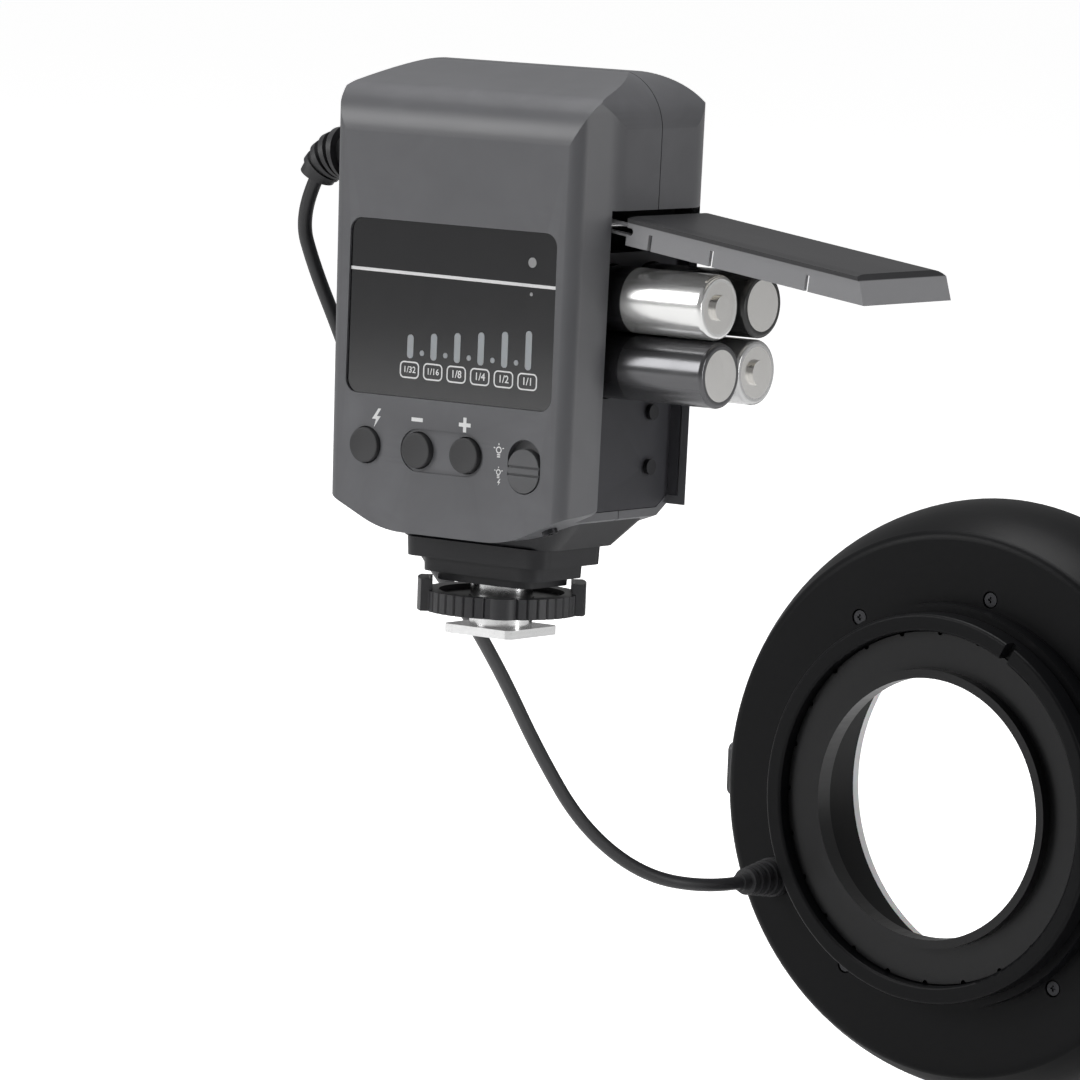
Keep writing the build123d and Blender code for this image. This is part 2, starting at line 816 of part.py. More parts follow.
# Door hinge pin, carried by the well's rear wall and the far bracket
with BuildPart() as hinge_pin:
    with BuildSketch(Plane.XZ.offset(-pin_rear_y)):
        with Locations((hinge_x, hinge_z)):
            Circle(hinge_pin_radius)
    extrude(amount=-(pin_front_y - pin_rear_y))
hinge_pin.part.label = "hinge_pin"
export_step(hinge_pin.part, "parts/hinge_pin.step")

# Fixed contacts at the chamber's back: springs under the flat ends, plates under the nubs
with BuildPart() as cell_springs:
    for turn in range(spring_turn_count):
        turn_radius = spring_base_radius + (spring_tip_radius - spring_base_radius) * turn / spring_turn_count
        with BuildSketch(Plane.YZ.offset(chamber_back_x + turn * spring_length / spring_turn_count)):
            with Locations((cell_centre_y, cell_centre_z)):
                with Locations((-row_offset, row_offset), (row_offset, -row_offset)):
                    Circle(turn_radius)
        extrude(amount=spring_length / spring_turn_count)
cell_springs.part.label = "cell_springs"
export_step(cell_springs.part, "parts/cell_springs.step")

with BuildPart() as cell_terminals:
    with BuildSketch(Plane.YZ.offset(chamber_back_x)):
        with Locations((cell_centre_y, cell_centre_z)):
            with Locations((row_offset, row_offset), (-row_offset, -row_offset)):
                Rectangle(contact_plate_width, contact_plate_width)
    extrude(amount=contact_plate_thickness)
    with BuildSketch(Plane.YZ.offset(chamber_back_x + contact_plate_thickness)):
        with Locations((cell_centre_y, cell_centre_z)):
            with Locations((row_offset, row_offset), (-row_offset, -row_offset)):
                Circle(spring_tip_radius)
    extrude(amount=spring_length - contact_plate_thickness)
cell_terminals.part.label = "cell_terminals"
export_step(cell_terminals.part, "parts/cell_terminals.step")

# Screws that hold the chamber, sunk in the floor of the door well
with BuildPart() as chamber_screws:
    for screw_z in (chamber_screw_high_z, chamber_screw_low_z):
        screw_seat_x = side_x(screw_z) - well_depth
        with BuildSketch(Plane.YZ.offset(screw_seat_x + 2 * screw_clearance)):
            with Locations((chamber_screw_y, screw_z)):
                Circle(screw_head_radius)
        extrude(amount=screw_head_height)
        with BuildSketch(Plane.YZ.offset(screw_seat_x + 2 * screw_clearance - screw_shank_length)):
            with Locations((chamber_screw_y, screw_z)):
                Circle(screw_shank_radius)
        extrude(amount=screw_shank_length)
        with BuildSketch(Plane.YZ.offset(screw_seat_x + screw_clearance + screw_head_height)):
            with Locations((chamber_screw_y, screw_z)):
                Rectangle(2 * screw_recess_radius, screw_recess_depth)
                Rectangle(screw_recess_depth, 2 * screw_recess_radius)
        extrude(amount=-screw_recess_depth, mode=Mode.SUBTRACT)
chamber_screws.part.label = "chamber_screws"
export_step(chamber_screws.part, "parts/chamber_screws.step")


def door_outline(depth, end_inset):
    """The closed door in the X-Z plane, from its outer face down to a depth."""
    low_z = door_latched_top_z - door_length + end_inset
    outer_x = half_width + cut_overrun
    end_rise = door_end_slope / door_depth
    inner_low_x = side_x(low_z) - depth
    with BuildSketch() as outline:
        with BuildLine():
            Polyline(
                (outer_x, door_latched_top_z),
                (side_x(door_latched_top_z) - depth, door_latched_top_z),
                (inner_low_x, low_z),
                (outer_x, low_z + (outer_x - inner_low_x) * end_rise),
                close=True,
            )
        make_face()
    return outline.sketch


door_inner_form = casing_block(door_plate)
with BuildPart() as door_tray:
    add(door_inner_form)
    with BuildSketch(Plane.XZ.offset(-(door_rear_y + door_flange_inset + door_flange))):
        add(door_outline(door_depth + cut_overrun, door_flange))
    extrude(
        amount=-(door_front_y - door_rear_y - 2 * door_flange_inset - 2 * door_flange), mode=Mode.INTERSECT
    )

door_foot_z = door_latched_top_z - door_length
with BuildPart() as closed_door:
    add(casing_form)
    with BuildSketch(Plane.XZ.offset(-door_rear_y)):
        add(door_outline(door_depth, 0))
    extrude(amount=-(door_front_y - door_rear_y), mode=Mode.INTERSECT)
    add(door_tray.part, mode=Mode.SUBTRACT)
    with BuildSketch(Plane.XZ.offset(-door_rear_y)):
        with BuildLine():
            Polyline(
                (side_x(door_latched_top_z) - door_plate, door_latched_top_z + cut_overrun),
                (0, door_latched_top_z + cut_overrun),
                (0, door_foot_z - cut_overrun),
                (side_x(door_foot_z) - door_plate, door_foot_z - cut_overrun),
                close=True,
            )
        make_face()
    extrude(amount=-door_flange_inset, mode=Mode.SUBTRACT)
    for share in flange_notch_shares:
        notch_z = door_latched_top_z - share * door_length
        with BuildSketch(Plane.XZ.offset(-door_rear_y)):
            with Locations((side_x(notch_z) - door_depth, notch_z)):
                Rectangle(2 * flange_notch_depth, flange_notch_width)
        extrude(amount=-(door_flange_inset + door_flange), mode=Mode.SUBTRACT)
    for rib_offset in door_rib_offsets:
        rib_z = cell_centre_z + rib_offset
        with BuildSketch(Plane.XZ.offset(-(door_rear_y + door_flange_inset))):
            with Locations((side_x(rib_z) - door_plate - door_rib_depth / 2, rib_z)):
                Rectangle(door_rib_depth + screw_clearance, door_rib_thickness)
        extrude(amount=-(door_front_y - door_rear_y - 2 * door_flange_inset - door_flange))
    for arm_y in (arm_near_y, arm_far_y):
        arm_plane = Plane(
            origin=(hinge_x, arm_y, hinge_z),
            x_dir=(side_slope, 0, 1),
            z_dir=(0, 1, 0),
        )
        with BuildSketch(arm_plane):
            with Locations((door_slide / 2, 0)):
                SlotOverall(door_slide + 2 * hinge_arm_half_height, 2 * hinge_arm_half_height)
            with Locations((hinge_ear_reach, hinge_depth - door_plate + hinge_fit)):
                Rectangle(
                    hinge_ear_length,
                    hinge_depth - door_plate + hinge_fit + hinge_arm_half_height,
                    align=(Align.MAX, Align.MAX),
                )
        extrude(amount=hinge_arm_thickness)
    slot_plane = Plane(
        origin=(hinge_x, door_rear_y, hinge_z),
        x_dir=(side_slope, 0, 1),
        z_dir=(0, 1, 0),
    )
    with BuildSketch(slot_plane):
        with Locations((door_slide / 2, 0)):
            SlotCenterToCenter(door_slide, 2 * (hinge_pin_radius + hinge_fit))
    extrude(amount=door_front_y - door_rear_y, mode=Mode.SUBTRACT)

# The open pose: slid out of its latch, then swung up about the hinge pin
open_turn = Location((hinge_x, 0, hinge_z)) * Location((0, 0, 0), (0, -door_swing_deg, 0))
slide_out = Location((-side_slope * door_slide, 0, -door_slide * math.cos(math.radians(side_draft_deg))))
open_door = open_turn * Location((-hinge_x, 0, -hinge_z)) * slide_out
with BuildPart() as battery_door:
    with Locations(open_door):
        add(closed_door.part)
battery_door.part.label = "battery_door"
export_step(battery_door.part, "parts/battery_door.step")

# Bridging contacts inside the door, one for each pair of cells
with BuildPart() as closed_contacts:
    for pair_z in (cell_centre_z - row_offset, cell_centre_z + row_offset):
        plate_seat_x = side_x(pair_z + contact_plate_width / 2) - door_plate - hinge_fit
        pair_seat_x = min(plate_seat_x, side_x(pair_z - contact_plate_width / 2) - door_plate - hinge_fit)
        with BuildSketch(Plane.YZ.offset(pair_seat_x)):
            with Locations((cell_centre_y, pair_z)):
                Rectangle(cell_pitch + contact_plate_width, contact_plate_width)
        extrude(amount=-contact_plate_thickness)
        with BuildSketch(Plane.YZ.offset(pair_seat_x - contact_plate_thickness)):
            with Locations((cell_centre_y, pair_z)):
                with GridLocations(cell_pitch, 0, 2, 1):
                    Circle(door_contact_radius)
        extrude(amount=-(door_contact_height - contact_plate_thickness))
with BuildPart() as door_contacts:
    with Locations(open_door):
        add(closed_contacts.part)
door_contacts.part.label = "door_contacts"
export_step(door_contacts.part, "parts/door_contacts.step")

# Base under the casing: a hull that narrows into three rounded steps
with BuildPart() as base_shell:
    with BuildSketch(Plane.XY.offset(hull_bottom_z)):
        with Locations((0, hull_centre_y)):
            RectangleRounded(2 * hull_bottom_half_width, 2 * hull_bottom_half_depth, hull_bottom_radius)
    with BuildSketch(Plane.XY.offset(hull_top_z)):
        with Locations((0, hull_centre_y)):
            RectangleRounded(2 * hull_top_half_width, 2 * hull_top_half_depth, hull_top_radius)
    loft(ruled=True)
    add(casing_form, mode=Mode.SUBTRACT)
    step_top_z = hull_bottom_z
    step_sizes = zip(step_heights, step_half_widths, step_half_depths)
    for step_height, step_half_width, step_half_depth in step_sizes:
        with BuildSketch(Plane.XY.offset(step_top_z)):
            RectangleRounded(2 * step_half_width, 2 * step_half_depth, step_radius)
        extrude(amount=-step_height, taper=step_draft_deg)
        step_top_z = step_top_z - step_height
    with BuildSketch(Plane.XY.offset(step_top_z)):
        Circle(foot_stem_radius)
    extrude(amount=stem_socket_depth, mode=Mode.SUBTRACT)
base_shell.part.label = "base_shell"
export_step(base_shell.part, "parts/base_shell.step")

# Screws up through the sloping underside of the casing
keel_rise = bottom_corner_z - bottom_flat_z
keel_slope = keel_rise / (side_x(bottom_corner_z) + side_overlap - bottom_flat_half_width)
with BuildPart() as casing_screws:
    for screw_side in (-1, 1):
        screw_z = bottom_flat_z + (casing_screw_x - bottom_flat_half_width) * keel_slope
        screw_plane = Plane(
            origin=(screw_side * casing_screw_x, casing_screw_y, screw_z),
            x_dir=(0, 1, 0),
            z_dir=(screw_side * keel_slope, 0, -1),
        )
        with BuildSketch(screw_plane):
            Circle(screw_head_radius)
        extrude(amount=screw_head_height)
        with BuildSketch(screw_plane.offset(screw_head_height)):
            Rectangle(2 * screw_recess_radius, screw_recess_depth)
            Rectangle(screw_recess_depth, 2 * screw_recess_radius)
        extrude(amount=-screw_recess_depth, mode=Mode.SUBTRACT)
casing_screws.part.label = "casing_screws"
export_step(casing_screws.part, "parts/casing_screws.step")

# Metal foot: the plate that slides into the shoe and the stem above it
base_foot_z = hull_bottom_z - sum(step_heights)
stem_top_z = base_foot_z + stem_socket_depth
with BuildPart() as hot_shoe_foot:
    with BuildSketch(Plane.XY):
        Rectangle(foot_width, foot_depth)
    extrude(amount=foot_thickness)
    chamfer(hot_shoe_foot.edges().filter_by(Axis.Z), foot_corner_chamfer)
    with BuildSketch(Plane.XY):
        Circle(foot_stem_radius)
    extrude(amount=stem_top_z)
    with BuildSketch(Plane.XY):
        Circle(foot_insulator_radius)
    extrude(amount=insulator_height, mode=Mode.SUBTRACT)
    with BuildSketch(Plane.XY):
        with Locations((0, lock_pin_y)):
            Circle(lock_pin_radius + pin_hole_clearance)
    extrude(amount=lock_pin_length + pin_hole_clearance, mode=Mode.SUBTRACT)
hot_shoe_foot.part.label = "hot_shoe_foot"
export_step(hot_shoe_foot.part, "parts/hot_shoe_foot.step")

# Insulator round the centre contact
with BuildPart() as foot_insulator:
    with BuildSketch(Plane.XY):
        Circle(foot_insulator_radius - insulator_fit)
        Circle(contact_radius + pin_hole_clearance, mode=Mode.SUBTRACT)
    extrude(amount=insulator_height - insulator_fit)
    with BuildSketch(Plane.XY.offset(contact_seat_z)):
        Circle(contact_collar_radius + pin_hole_clearance)
    extrude(amount=insulator_height, mode=Mode.SUBTRACT)
foot_insulator.part.label = "foot_insulator"
export_step(foot_insulator.part, "parts/foot_insulator.step")

# Sprung centre contact with the collar that keeps it in
with BuildPart() as centre_contact:
    with BuildSketch(Plane.XY.offset(-contact_reach)):
        Circle(contact_radius)
    extrude(amount=contact_length)
    fillet(centre_contact.edges().sort_by(Axis.Z)[0], contact_reach / 2)
    with BuildSketch(Plane.XY.offset(contact_seat_z + hinge_fit)):
        Circle(contact_collar_radius)
    extrude(amount=contact_collar_thickness)
centre_contact.part.label = "centre_contact"
export_step(centre_contact.part, "parts/centre_contact.step")

# Lock pin, standing out of the foot while the ring is tight
with BuildPart() as lock_pin:
    with BuildSketch(Plane.XY.offset(-lock_pin_reach)):
        with Locations((0, lock_pin_y)):
            Circle(lock_pin_radius)
    extrude(amount=lock_pin_length)
    chamfer(lock_pin.edges().sort_by(Axis.Z)[0], lock_pin_radius / 3)
lock_pin.part.label = "lock_pin"
export_step(lock_pin.part, "parts/lock_pin.step")

# Lock ring: knurled rim, four smooth lobes and two taller ears
with BuildPart() as lock_ring:
    with BuildSketch(Plane.XY.offset(lock_ring_bottom_z)):
        Circle(lock_ring_radius)
        with PolarLocations(lock_ring_radius + knurl_groove_size / 4, knurl_groove_count):
            Rectangle(knurl_groove_size, knurl_groove_size, rotation=45, mode=Mode.SUBTRACT)
        with PolarLocations(
            lock_ring_radius - lock_ring_lobe_radius + lock_ring_lobe_reach, 4, lock_ring_lobe_turn_deg
        ):
            Circle(lock_ring_lobe_radius)
    extrude(amount=lock_ring_height)
    with BuildSketch(Plane.XY.offset(lock_ring_bottom_z)):
        Circle(lock_ring_radius + lock_ring_ear_reach)
        Circle(lock_ring_radius + lock_ring_ear_reach - lock_ring_ear_wall, mode=Mode.SUBTRACT)
        with Locations(Rotation(0, 0, lock_ring_lobe_turn_deg)):
            Rectangle(3 * lock_ring_radius, lock_ring_ear_width, mode=Mode.INTERSECT)
    extrude(amount=lock_ring_ear_top_z - lock_ring_bottom_z)
    with BuildSketch(Plane.XY.offset(lock_ring_bottom_z + lock_ring_height)):
        Circle(lock_ring_web_radius - lock_ring_dish_depth)
    extrude(amount=-lock_ring_dish_depth, mode=Mode.SUBTRACT)
    with BuildSketch(Plane.XY.offset(lock_ring_bottom_z)):
        Circle(lock_ring_bore_radius)
    extrude(amount=lock_ring_height, mode=Mode.SUBTRACT)
lock_ring.part.label = "lock_ring"
export_step(lock_ring.part, "parts/lock_ring.step")

# Ribbed boot where the cord leaves the unit: a short neck that bends downwards
boot_root_x = -side_x(boot_z)
bend_start_x = boot_root_x - boot_neck_length
bend_axis = Axis((bend_start_x, boot_y, boot_z - boot_bend_radius), (0, -1, 0))


def bend_plane(turn_deg):
    """Plane across the bent boot at an angle along its bend."""
    turn = math.radians(turn_deg)
    return Plane(
        origin=(
            bend_start_x - boot_bend_radius * math.sin(turn),
            boot_y,
            boot_z - boot_bend_radius + boot_bend_radius * math.cos(turn),
        ),
        x_dir=(0, 1, 0),
        z_dir=(-math.cos(turn), 0, -math.sin(turn)),
    )


with BuildPart() as unit_cable_boot:
    with BuildSketch(Plane.YZ.offset(boot_root_x + casing_wall)):
        with Locations((boot_y, boot_z)):
            Circle(boot_neck_radius)
    extrude(amount=-(boot_neck_length + casing_wall))
    with BuildSketch(Plane.YZ.offset(boot_root_x - boot_seat_gap)):
        with Locations((boot_y, boot_z)):
            Circle(boot_base_radius)
    extrude(amount=-boot_base_length)
    with BuildSketch(Plane.YZ.offset(boot_root_x + casing_wall + boot_seat_gap)):
        with Locations((boot_y, boot_z)):
            Circle(boot_flange_radius)
    extrude(amount=casing_wall)
    with BuildSketch(Plane.YZ.offset(boot_root_x + casing_wall)):
        with Locations((boot_y, boot_z)):
            Circle(boot_neck_radius)
    extrude(amount=boot_seat_gap)
    with BuildSketch(bend_plane(0)):
        Circle(boot_neck_radius)
    revolve(axis=bend_axis, revolution_arc=boot_bend_deg)
    for rib in range(boot_rib_count):
        with BuildSketch(bend_plane(boot_rib_start_deg + rib * boot_rib_pitch_deg)):
            Circle(boot_rib_radius - rib * boot_rib_taper)
        revolve(axis=bend_axis, revolution_arc=boot_rib_arc_deg)
unit_cable_boot.part.label = "unit_cable_boot"
export_step(unit_cable_boot.part, "parts/unit_cable_boot.step")

# Socket of the boot on the ring head, and the free cord between the two boots
ring_boot_distance = ring_rim_radius - ring_boot_rim_inset
ring_boot_turn = math.radians(ring_boot_angle_deg)
ring_boot_x = ring_boot_distance * math.cos(ring_boot_turn)
ring_boot_z = lens_axis_z + ring_boot_distance * math.sin(ring_boot_turn)
ring_boot_tip_y = ring_rear_y - ring_boot_length
cord_start = bend_plane(boot_bend_deg).origin
cord_aim = bend_plane(boot_bend_deg).z_dir
cord_end = Vector(ring_boot_x, ring_boot_tip_y, ring_boot_z)
cord_route = [
    cord_start,
    cord_start + cord_aim * cord_lead_length,
    *[Vector(*place) for place in cord_places],
    cord_end - Vector(0, cord_end_length, 0),
    cord_end,
]
cord_runs = [(after - before) for before, after in zip(cord_route, cord_route[1:])]
cord_radii = []
for run_in, run_out in zip(cord_runs, cord_runs[1:]):
    turn = math.radians(run_in.get_angle(run_out))
    cord_radii.append(cord_run_share * min(run_in.length, run_out.length) / math.tan(turn / 2))
print("cord runs", [round(run.length, 1) for run in cord_runs])
print("cord radii", [round(radius, 1) for radius in cord_radii])

with BuildPart() as ring_cord:
    with BuildLine() as cord_path:
        FilletPolyline(*cord_route, radius=cord_radii)
    with BuildSketch(Plane(origin=cord_start, z_dir=cord_aim)):
        Circle(cord_radius)
    sweep(path=cord_path.wire())
cord_length = cord_path.wire().length
cord_volume_share = ring_cord.part.volume / (math.pi * cord_radius**2 * cord_length)
print("cord length", round(cord_length, 1), "volume share", round(cord_volume_share, 3))
ring_cord.part.label = "ring_cord"
export_step(ring_cord.part, "parts/ring_cord.step")

# Ring head, turned about the lens axis
bezel_inner_radius = ring_rim_radius - bezel_width
diffuser_flange_radius = bezel_inner_radius + diffuser_flange_width
reflector_outer_radius = bezel_inner_radius - reflector_rim_gap
flash_tube_path_radius = (reflector_inner_radius + reflector_outer_radius) / 2
adapter_radius = ring_bore_radius - adapter_fit
release_flange_x = ring_rim_radius - release_flange_depth
ring_plane = Plane.XY.offset(lens_axis_z)
ring_axis = Axis((0, 0, lens_axis_z), (0, -1, 0))
ring_seam_y = ring_front_y - bezel_length
ring_inner_y = ring_rear_y + ring_wall
ring_tube_radius = ring_bore_radius + ring_wall
notch_turn = math.radians(collar_notch_angle_deg)
notch_radius = (ring_collar_radius + ring_bore_radius) / 2
collar_wall = ring_collar_radius - ring_bore_radius
ring_screw_places = []
for angle_deg in ring_screw_angles_deg:
    screw_turn = math.radians(angle_deg)
    screw_x = ring_screw_distance * math.cos(screw_turn)
    ring_screw_places.append((screw_x, lens_axis_z + ring_screw_distance * math.sin(screw_turn)))


def ring_side_at(y):
    """Outer radius of the ring's side in front of its widest bend, on the chord."""
    share = (y - ring_side_y) / (ring_seam_y - ring_side_y)
    return ring_side_radius + share * (ring_rim_radius - ring_side_radius)


def turned_section(places):
    """Closed half section of a turned piece from its (radius, y) corners."""
    with BuildSketch() as outline:
        with BuildLine():
            Polyline(*places, close=True)
        make_face()
    return outline.sketch


with BuildPart() as ring_rear_shell:
    with BuildSketch(ring_plane):
        with BuildLine():
            Polyline(
                (ring_rear_radius, ring_rear_y),
                (ring_lip_radius, ring_rear_y),
                (ring_lip_radius, ring_rear_y - ring_lip_height),
                (ring_collar_radius, ring_rear_y - ring_lip_height),
                (ring_collar_radius, ring_collar_rear_y),
                (ring_bore_radius, ring_collar_rear_y),
                (ring_bore_radius, ring_seam_y),
                (ring_tube_radius, ring_seam_y),
                (ring_tube_radius, ring_inner_y),
                (ring_rear_radius - ring_wall, ring_inner_y),
            )
            ThreePointArc(
                (ring_rear_radius - ring_wall, ring_inner_y),
                (ring_side_radius - ring_wall, ring_side_y),
                (ring_rim_radius - ring_wall, ring_seam_y),
            )
            Line((ring_rim_radius - ring_wall, ring_seam_y), (ring_rim_radius, ring_seam_y))
            ThreePointArc(
                (ring_rim_radius, ring_seam_y),
                (ring_side_radius, ring_side_y),
                (ring_rear_radius, ring_rear_y),
            )
        make_face()
    revolve(axis=ring_axis)
    ring_circles = ring_rear_shell.edges().filter_by(GeomType.CIRCLE)
    rear_edge = ring_circles.filter_by(
        lambda edge: edge.radius > ring_screw_distance and abs(edge.center().Y - ring_rear_y) < ring_wall / 2
    )
    fillet(rear_edge, ring_rear_round)
    ring_circles = ring_rear_shell.edges().filter_by(GeomType.CIRCLE)
    collar_circles = ring_circles.filter_by(
        lambda edge: edge.center().Y < ring_collar_rear_y + collar_round
    )
    fillet(collar_circles, collar_round)
    with BuildSketch(ring_plane):
        add(
            turned_section(
                [
                    (ring_bore_radius + collar_bead_height, collar_bead_y - collar_bead_width),
                    (ring_bore_radius - collar_bead_height, collar_bead_y - collar_bead_width / 2),
                    (ring_bore_radius - collar_bead_height, collar_bead_y + collar_bead_width / 2),
                    (ring_bore_radius + collar_bead_height, collar_bead_y + collar_bead_width),
                ]
            )
        )
    revolve(axis=ring_axis)
    with BuildSketch(Plane.XZ.offset(-ring_inner_y)):
        with Locations(*ring_screw_places):
            Circle(ring_boss_radius)
    extrude(amount=-(ring_board_rear_y - ring_inner_y))
    with BuildSketch(Plane.XZ.offset(-ring_rear_y)):
        with Locations(*ring_screw_places):
            Circle(ring_recess_radius)
    extrude(amount=-ring_recess_depth, mode=Mode.SUBTRACT)
    with BuildSketch(Plane.XZ.offset(-ring_rear_y)):
        with Locations(*ring_screw_places):
            Circle(screw_shank_radius + screw_clearance)
    extrude(amount=-(ring_board_rear_y - ring_rear_y), mode=Mode.SUBTRACT)
    with BuildSketch(Plane.XZ.offset(-ring_rear_y)):
        with Locations((ring_boot_x, ring_boot_z)):
            Circle(ring_boot_neck_radius + screw_clearance)
    extrude(amount=-ring_wall, mode=Mode.SUBTRACT)
    with BuildSketch(Plane.XZ.offset(-ring_collar_rear_y)):
        notch_x = notch_radius * math.cos(notch_turn)
        with Locations((notch_x, lens_axis_z + notch_radius * math.sin(notch_turn))):
            Rectangle(2 * collar_wall, collar_notch_width, rotation=collar_notch_angle_deg)
    extrude(amount=-collar_notch_depth, mode=Mode.SUBTRACT)
    for ring_side in (-1, 1):
        with BuildSketch(Plane.YZ.offset(ring_side * release_flange_x)):
            with Locations((release_centre_y, lens_axis_z)):
                RectangleRounded(
                    release_length + 2 * release_gap,
                    release_width + 2 * release_gap,
                    release_radius + release_gap,
                )
        extrude(amount=ring_side * (ring_rim_radius - release_flange_x), mode=Mode.SUBTRACT)
ring_rear_shell.part.label = "ring_rear_shell"
export_step(ring_rear_shell.part, "parts/ring_rear_shell.step")

# Boot on the ring head, a straight tapered sleeve with ribs
ring_boot_axis = Axis((ring_boot_x, 0, ring_boot_z), (0, 1, 0))
ring_boot_places = [
    (0, ring_inner_y + ring_boot_flange_length),
    (ring_boot_flange_radius, ring_inner_y + ring_boot_flange_length),
    (ring_boot_flange_radius, ring_inner_y),
    (ring_boot_neck_radius, ring_inner_y),
    (ring_boot_neck_radius, ring_rear_y),
    (ring_boot_radius, ring_rear_y),
    (ring_boot_radius, ring_rear_y - ring_boot_base_length),
]
ring_boot_pitch = (ring_boot_length - ring_boot_base_length) / (ring_boot_rib_count + 1)
ring_boot_step = (ring_boot_radius - ring_boot_tip_radius) / (ring_boot_rib_count + 1)
for rib in range(ring_boot_rib_count):
    groove_y = ring_rear_y - ring_boot_base_length - rib * ring_boot_pitch
    rib_radius = ring_boot_radius - (rib + 1) * ring_boot_step
    ring_boot_places.append((rib_radius - ring_boot_groove_depth, groove_y))
    rib_start_y = groove_y - ring_boot_pitch + ring_boot_rib_width
    ring_boot_places.append((rib_radius - ring_boot_groove_depth, rib_start_y))
    ring_boot_places.append((rib_radius, rib_start_y))
    ring_boot_places.append((rib_radius, groove_y - ring_boot_pitch))
with BuildPart() as ring_cable_boot:
    with BuildSketch(Plane.XY.offset(ring_boot_z)):
        with Locations((ring_boot_x, 0)):
            add(
                turned_section(
                    [
                        *ring_boot_places,
                        (ring_boot_tip_radius - ring_boot_groove_depth, ring_boot_places[-1][1]),
                        (ring_boot_tip_radius - ring_boot_groove_depth, ring_boot_tip_y),
                        (0, ring_boot_tip_y),
                    ]
                )
            )
    revolve(axis=ring_boot_axis)
ring_cable_boot.part.label = "ring_cable_boot"
export_step(ring_cable_boot.part, "parts/ring_cable_boot.step")

# Front bezel with the spigot that snaps into the shell
spigot_radius = ring_side_at(ring_seam_y - bezel_spigot_length) - ring_wall - ring_outer_fit
with BuildPart() as ring_front_bezel:
    with BuildSketch(ring_plane):
        add(
            turned_section(
                [
                    (bezel_inner_radius, ring_seam_y),
                    (bezel_inner_radius, ring_front_y - bezel_round),
                    (bezel_inner_radius + bezel_round, ring_front_y),
                    (ring_rim_radius - bezel_round, ring_front_y),
                    (ring_rim_radius, ring_front_y - bezel_round),
                    (ring_rim_radius, ring_seam_y),
                    (spigot_radius, ring_seam_y),
                    (spigot_radius, ring_seam_y - bezel_spigot_length),
                    (spigot_radius - bezel_spigot_wall, ring_seam_y - bezel_spigot_length),
                    (spigot_radius - bezel_spigot_wall, ring_seam_y),
                ]
            )
        )
    revolve(axis=ring_axis)
ring_front_bezel.part.label = "ring_front_bezel"
export_step(ring_front_bezel.part, "parts/ring_front_bezel.step")

# Diffuser ring: its flange lies behind the bezel, its ridges on the back
ridge_places = []
for ridge in range(diffuser_ridge_count):
    ridge_radius = diffuser_first_ridge_radius + ridge * diffuser_ridge_pitch
    ridge_places.append((ridge_radius, ring_seam_y))
    ridge_places.append((ridge_radius + diffuser_ridge_pitch / 2, ring_seam_y - diffuser_ridge_depth))
ridge_places.append((ridge_places[-1][0] + diffuser_ridge_pitch / 2, ring_seam_y))
with BuildPart() as diffuser:
    with BuildSketch(ring_plane):
        add(
            turned_section(
                [
                    (ring_bore_radius + ring_outer_fit, ring_seam_y),
                    *ridge_places,
                    (reflector_outer_radius + reflector_wall, ring_seam_y - diffuser_flange_thickness),
                    (diffuser_flange_radius, ring_seam_y - diffuser_flange_thickness),
                    (diffuser_flange_radius, ring_seam_y),
                    (bezel_inner_radius - ring_outer_fit, ring_seam_y),
                    (bezel_inner_radius - ring_outer_fit, ring_seam_y + diffuser_thickness),
                    (ring_bore_radius + ring_outer_fit, ring_seam_y + diffuser_thickness),
                ]
            )
        )
    revolve(axis=ring_axis)
diffuser.part.label = "diffuser"
export_step(diffuser.part, "parts/diffuser.step")

# Circuit board behind the reflector, held by the ring's screws
with BuildPart() as ring_board:
    with BuildSketch(Plane.XZ.offset(-ring_board_rear_y)):
        with Locations((0, lens_axis_z)):
            Circle(ring_board_outer_radius)
            Circle(ring_board_inner_radius, mode=Mode.SUBTRACT)
        with Locations(*ring_screw_places):
            Circle(screw_shank_radius + screw_clearance, mode=Mode.SUBTRACT)
    extrude(amount=-ring_board_thickness)
ring_board.part.label = "ring_board"
export_step(ring_board.part, "parts/ring_board.step")

# Reflector trough with its posts and the clips that hold the tubes
board_face_y = ring_board_rear_y + ring_board_thickness
trough_floor_y = reflector_rear_y + reflector_wall
tube_half_arc_deg = flash_tube_arc_deg / 2


def turned_plane(angle_deg):
    """Plane through the lens axis at an angle round it."""
    turn = math.radians(angle_deg)
    return Plane(
        origin=(0, 0, lens_axis_z),
        x_dir=(math.cos(turn), 0, math.sin(turn)),
        z_dir=(-math.sin(turn), 0, math.cos(turn)),
    )


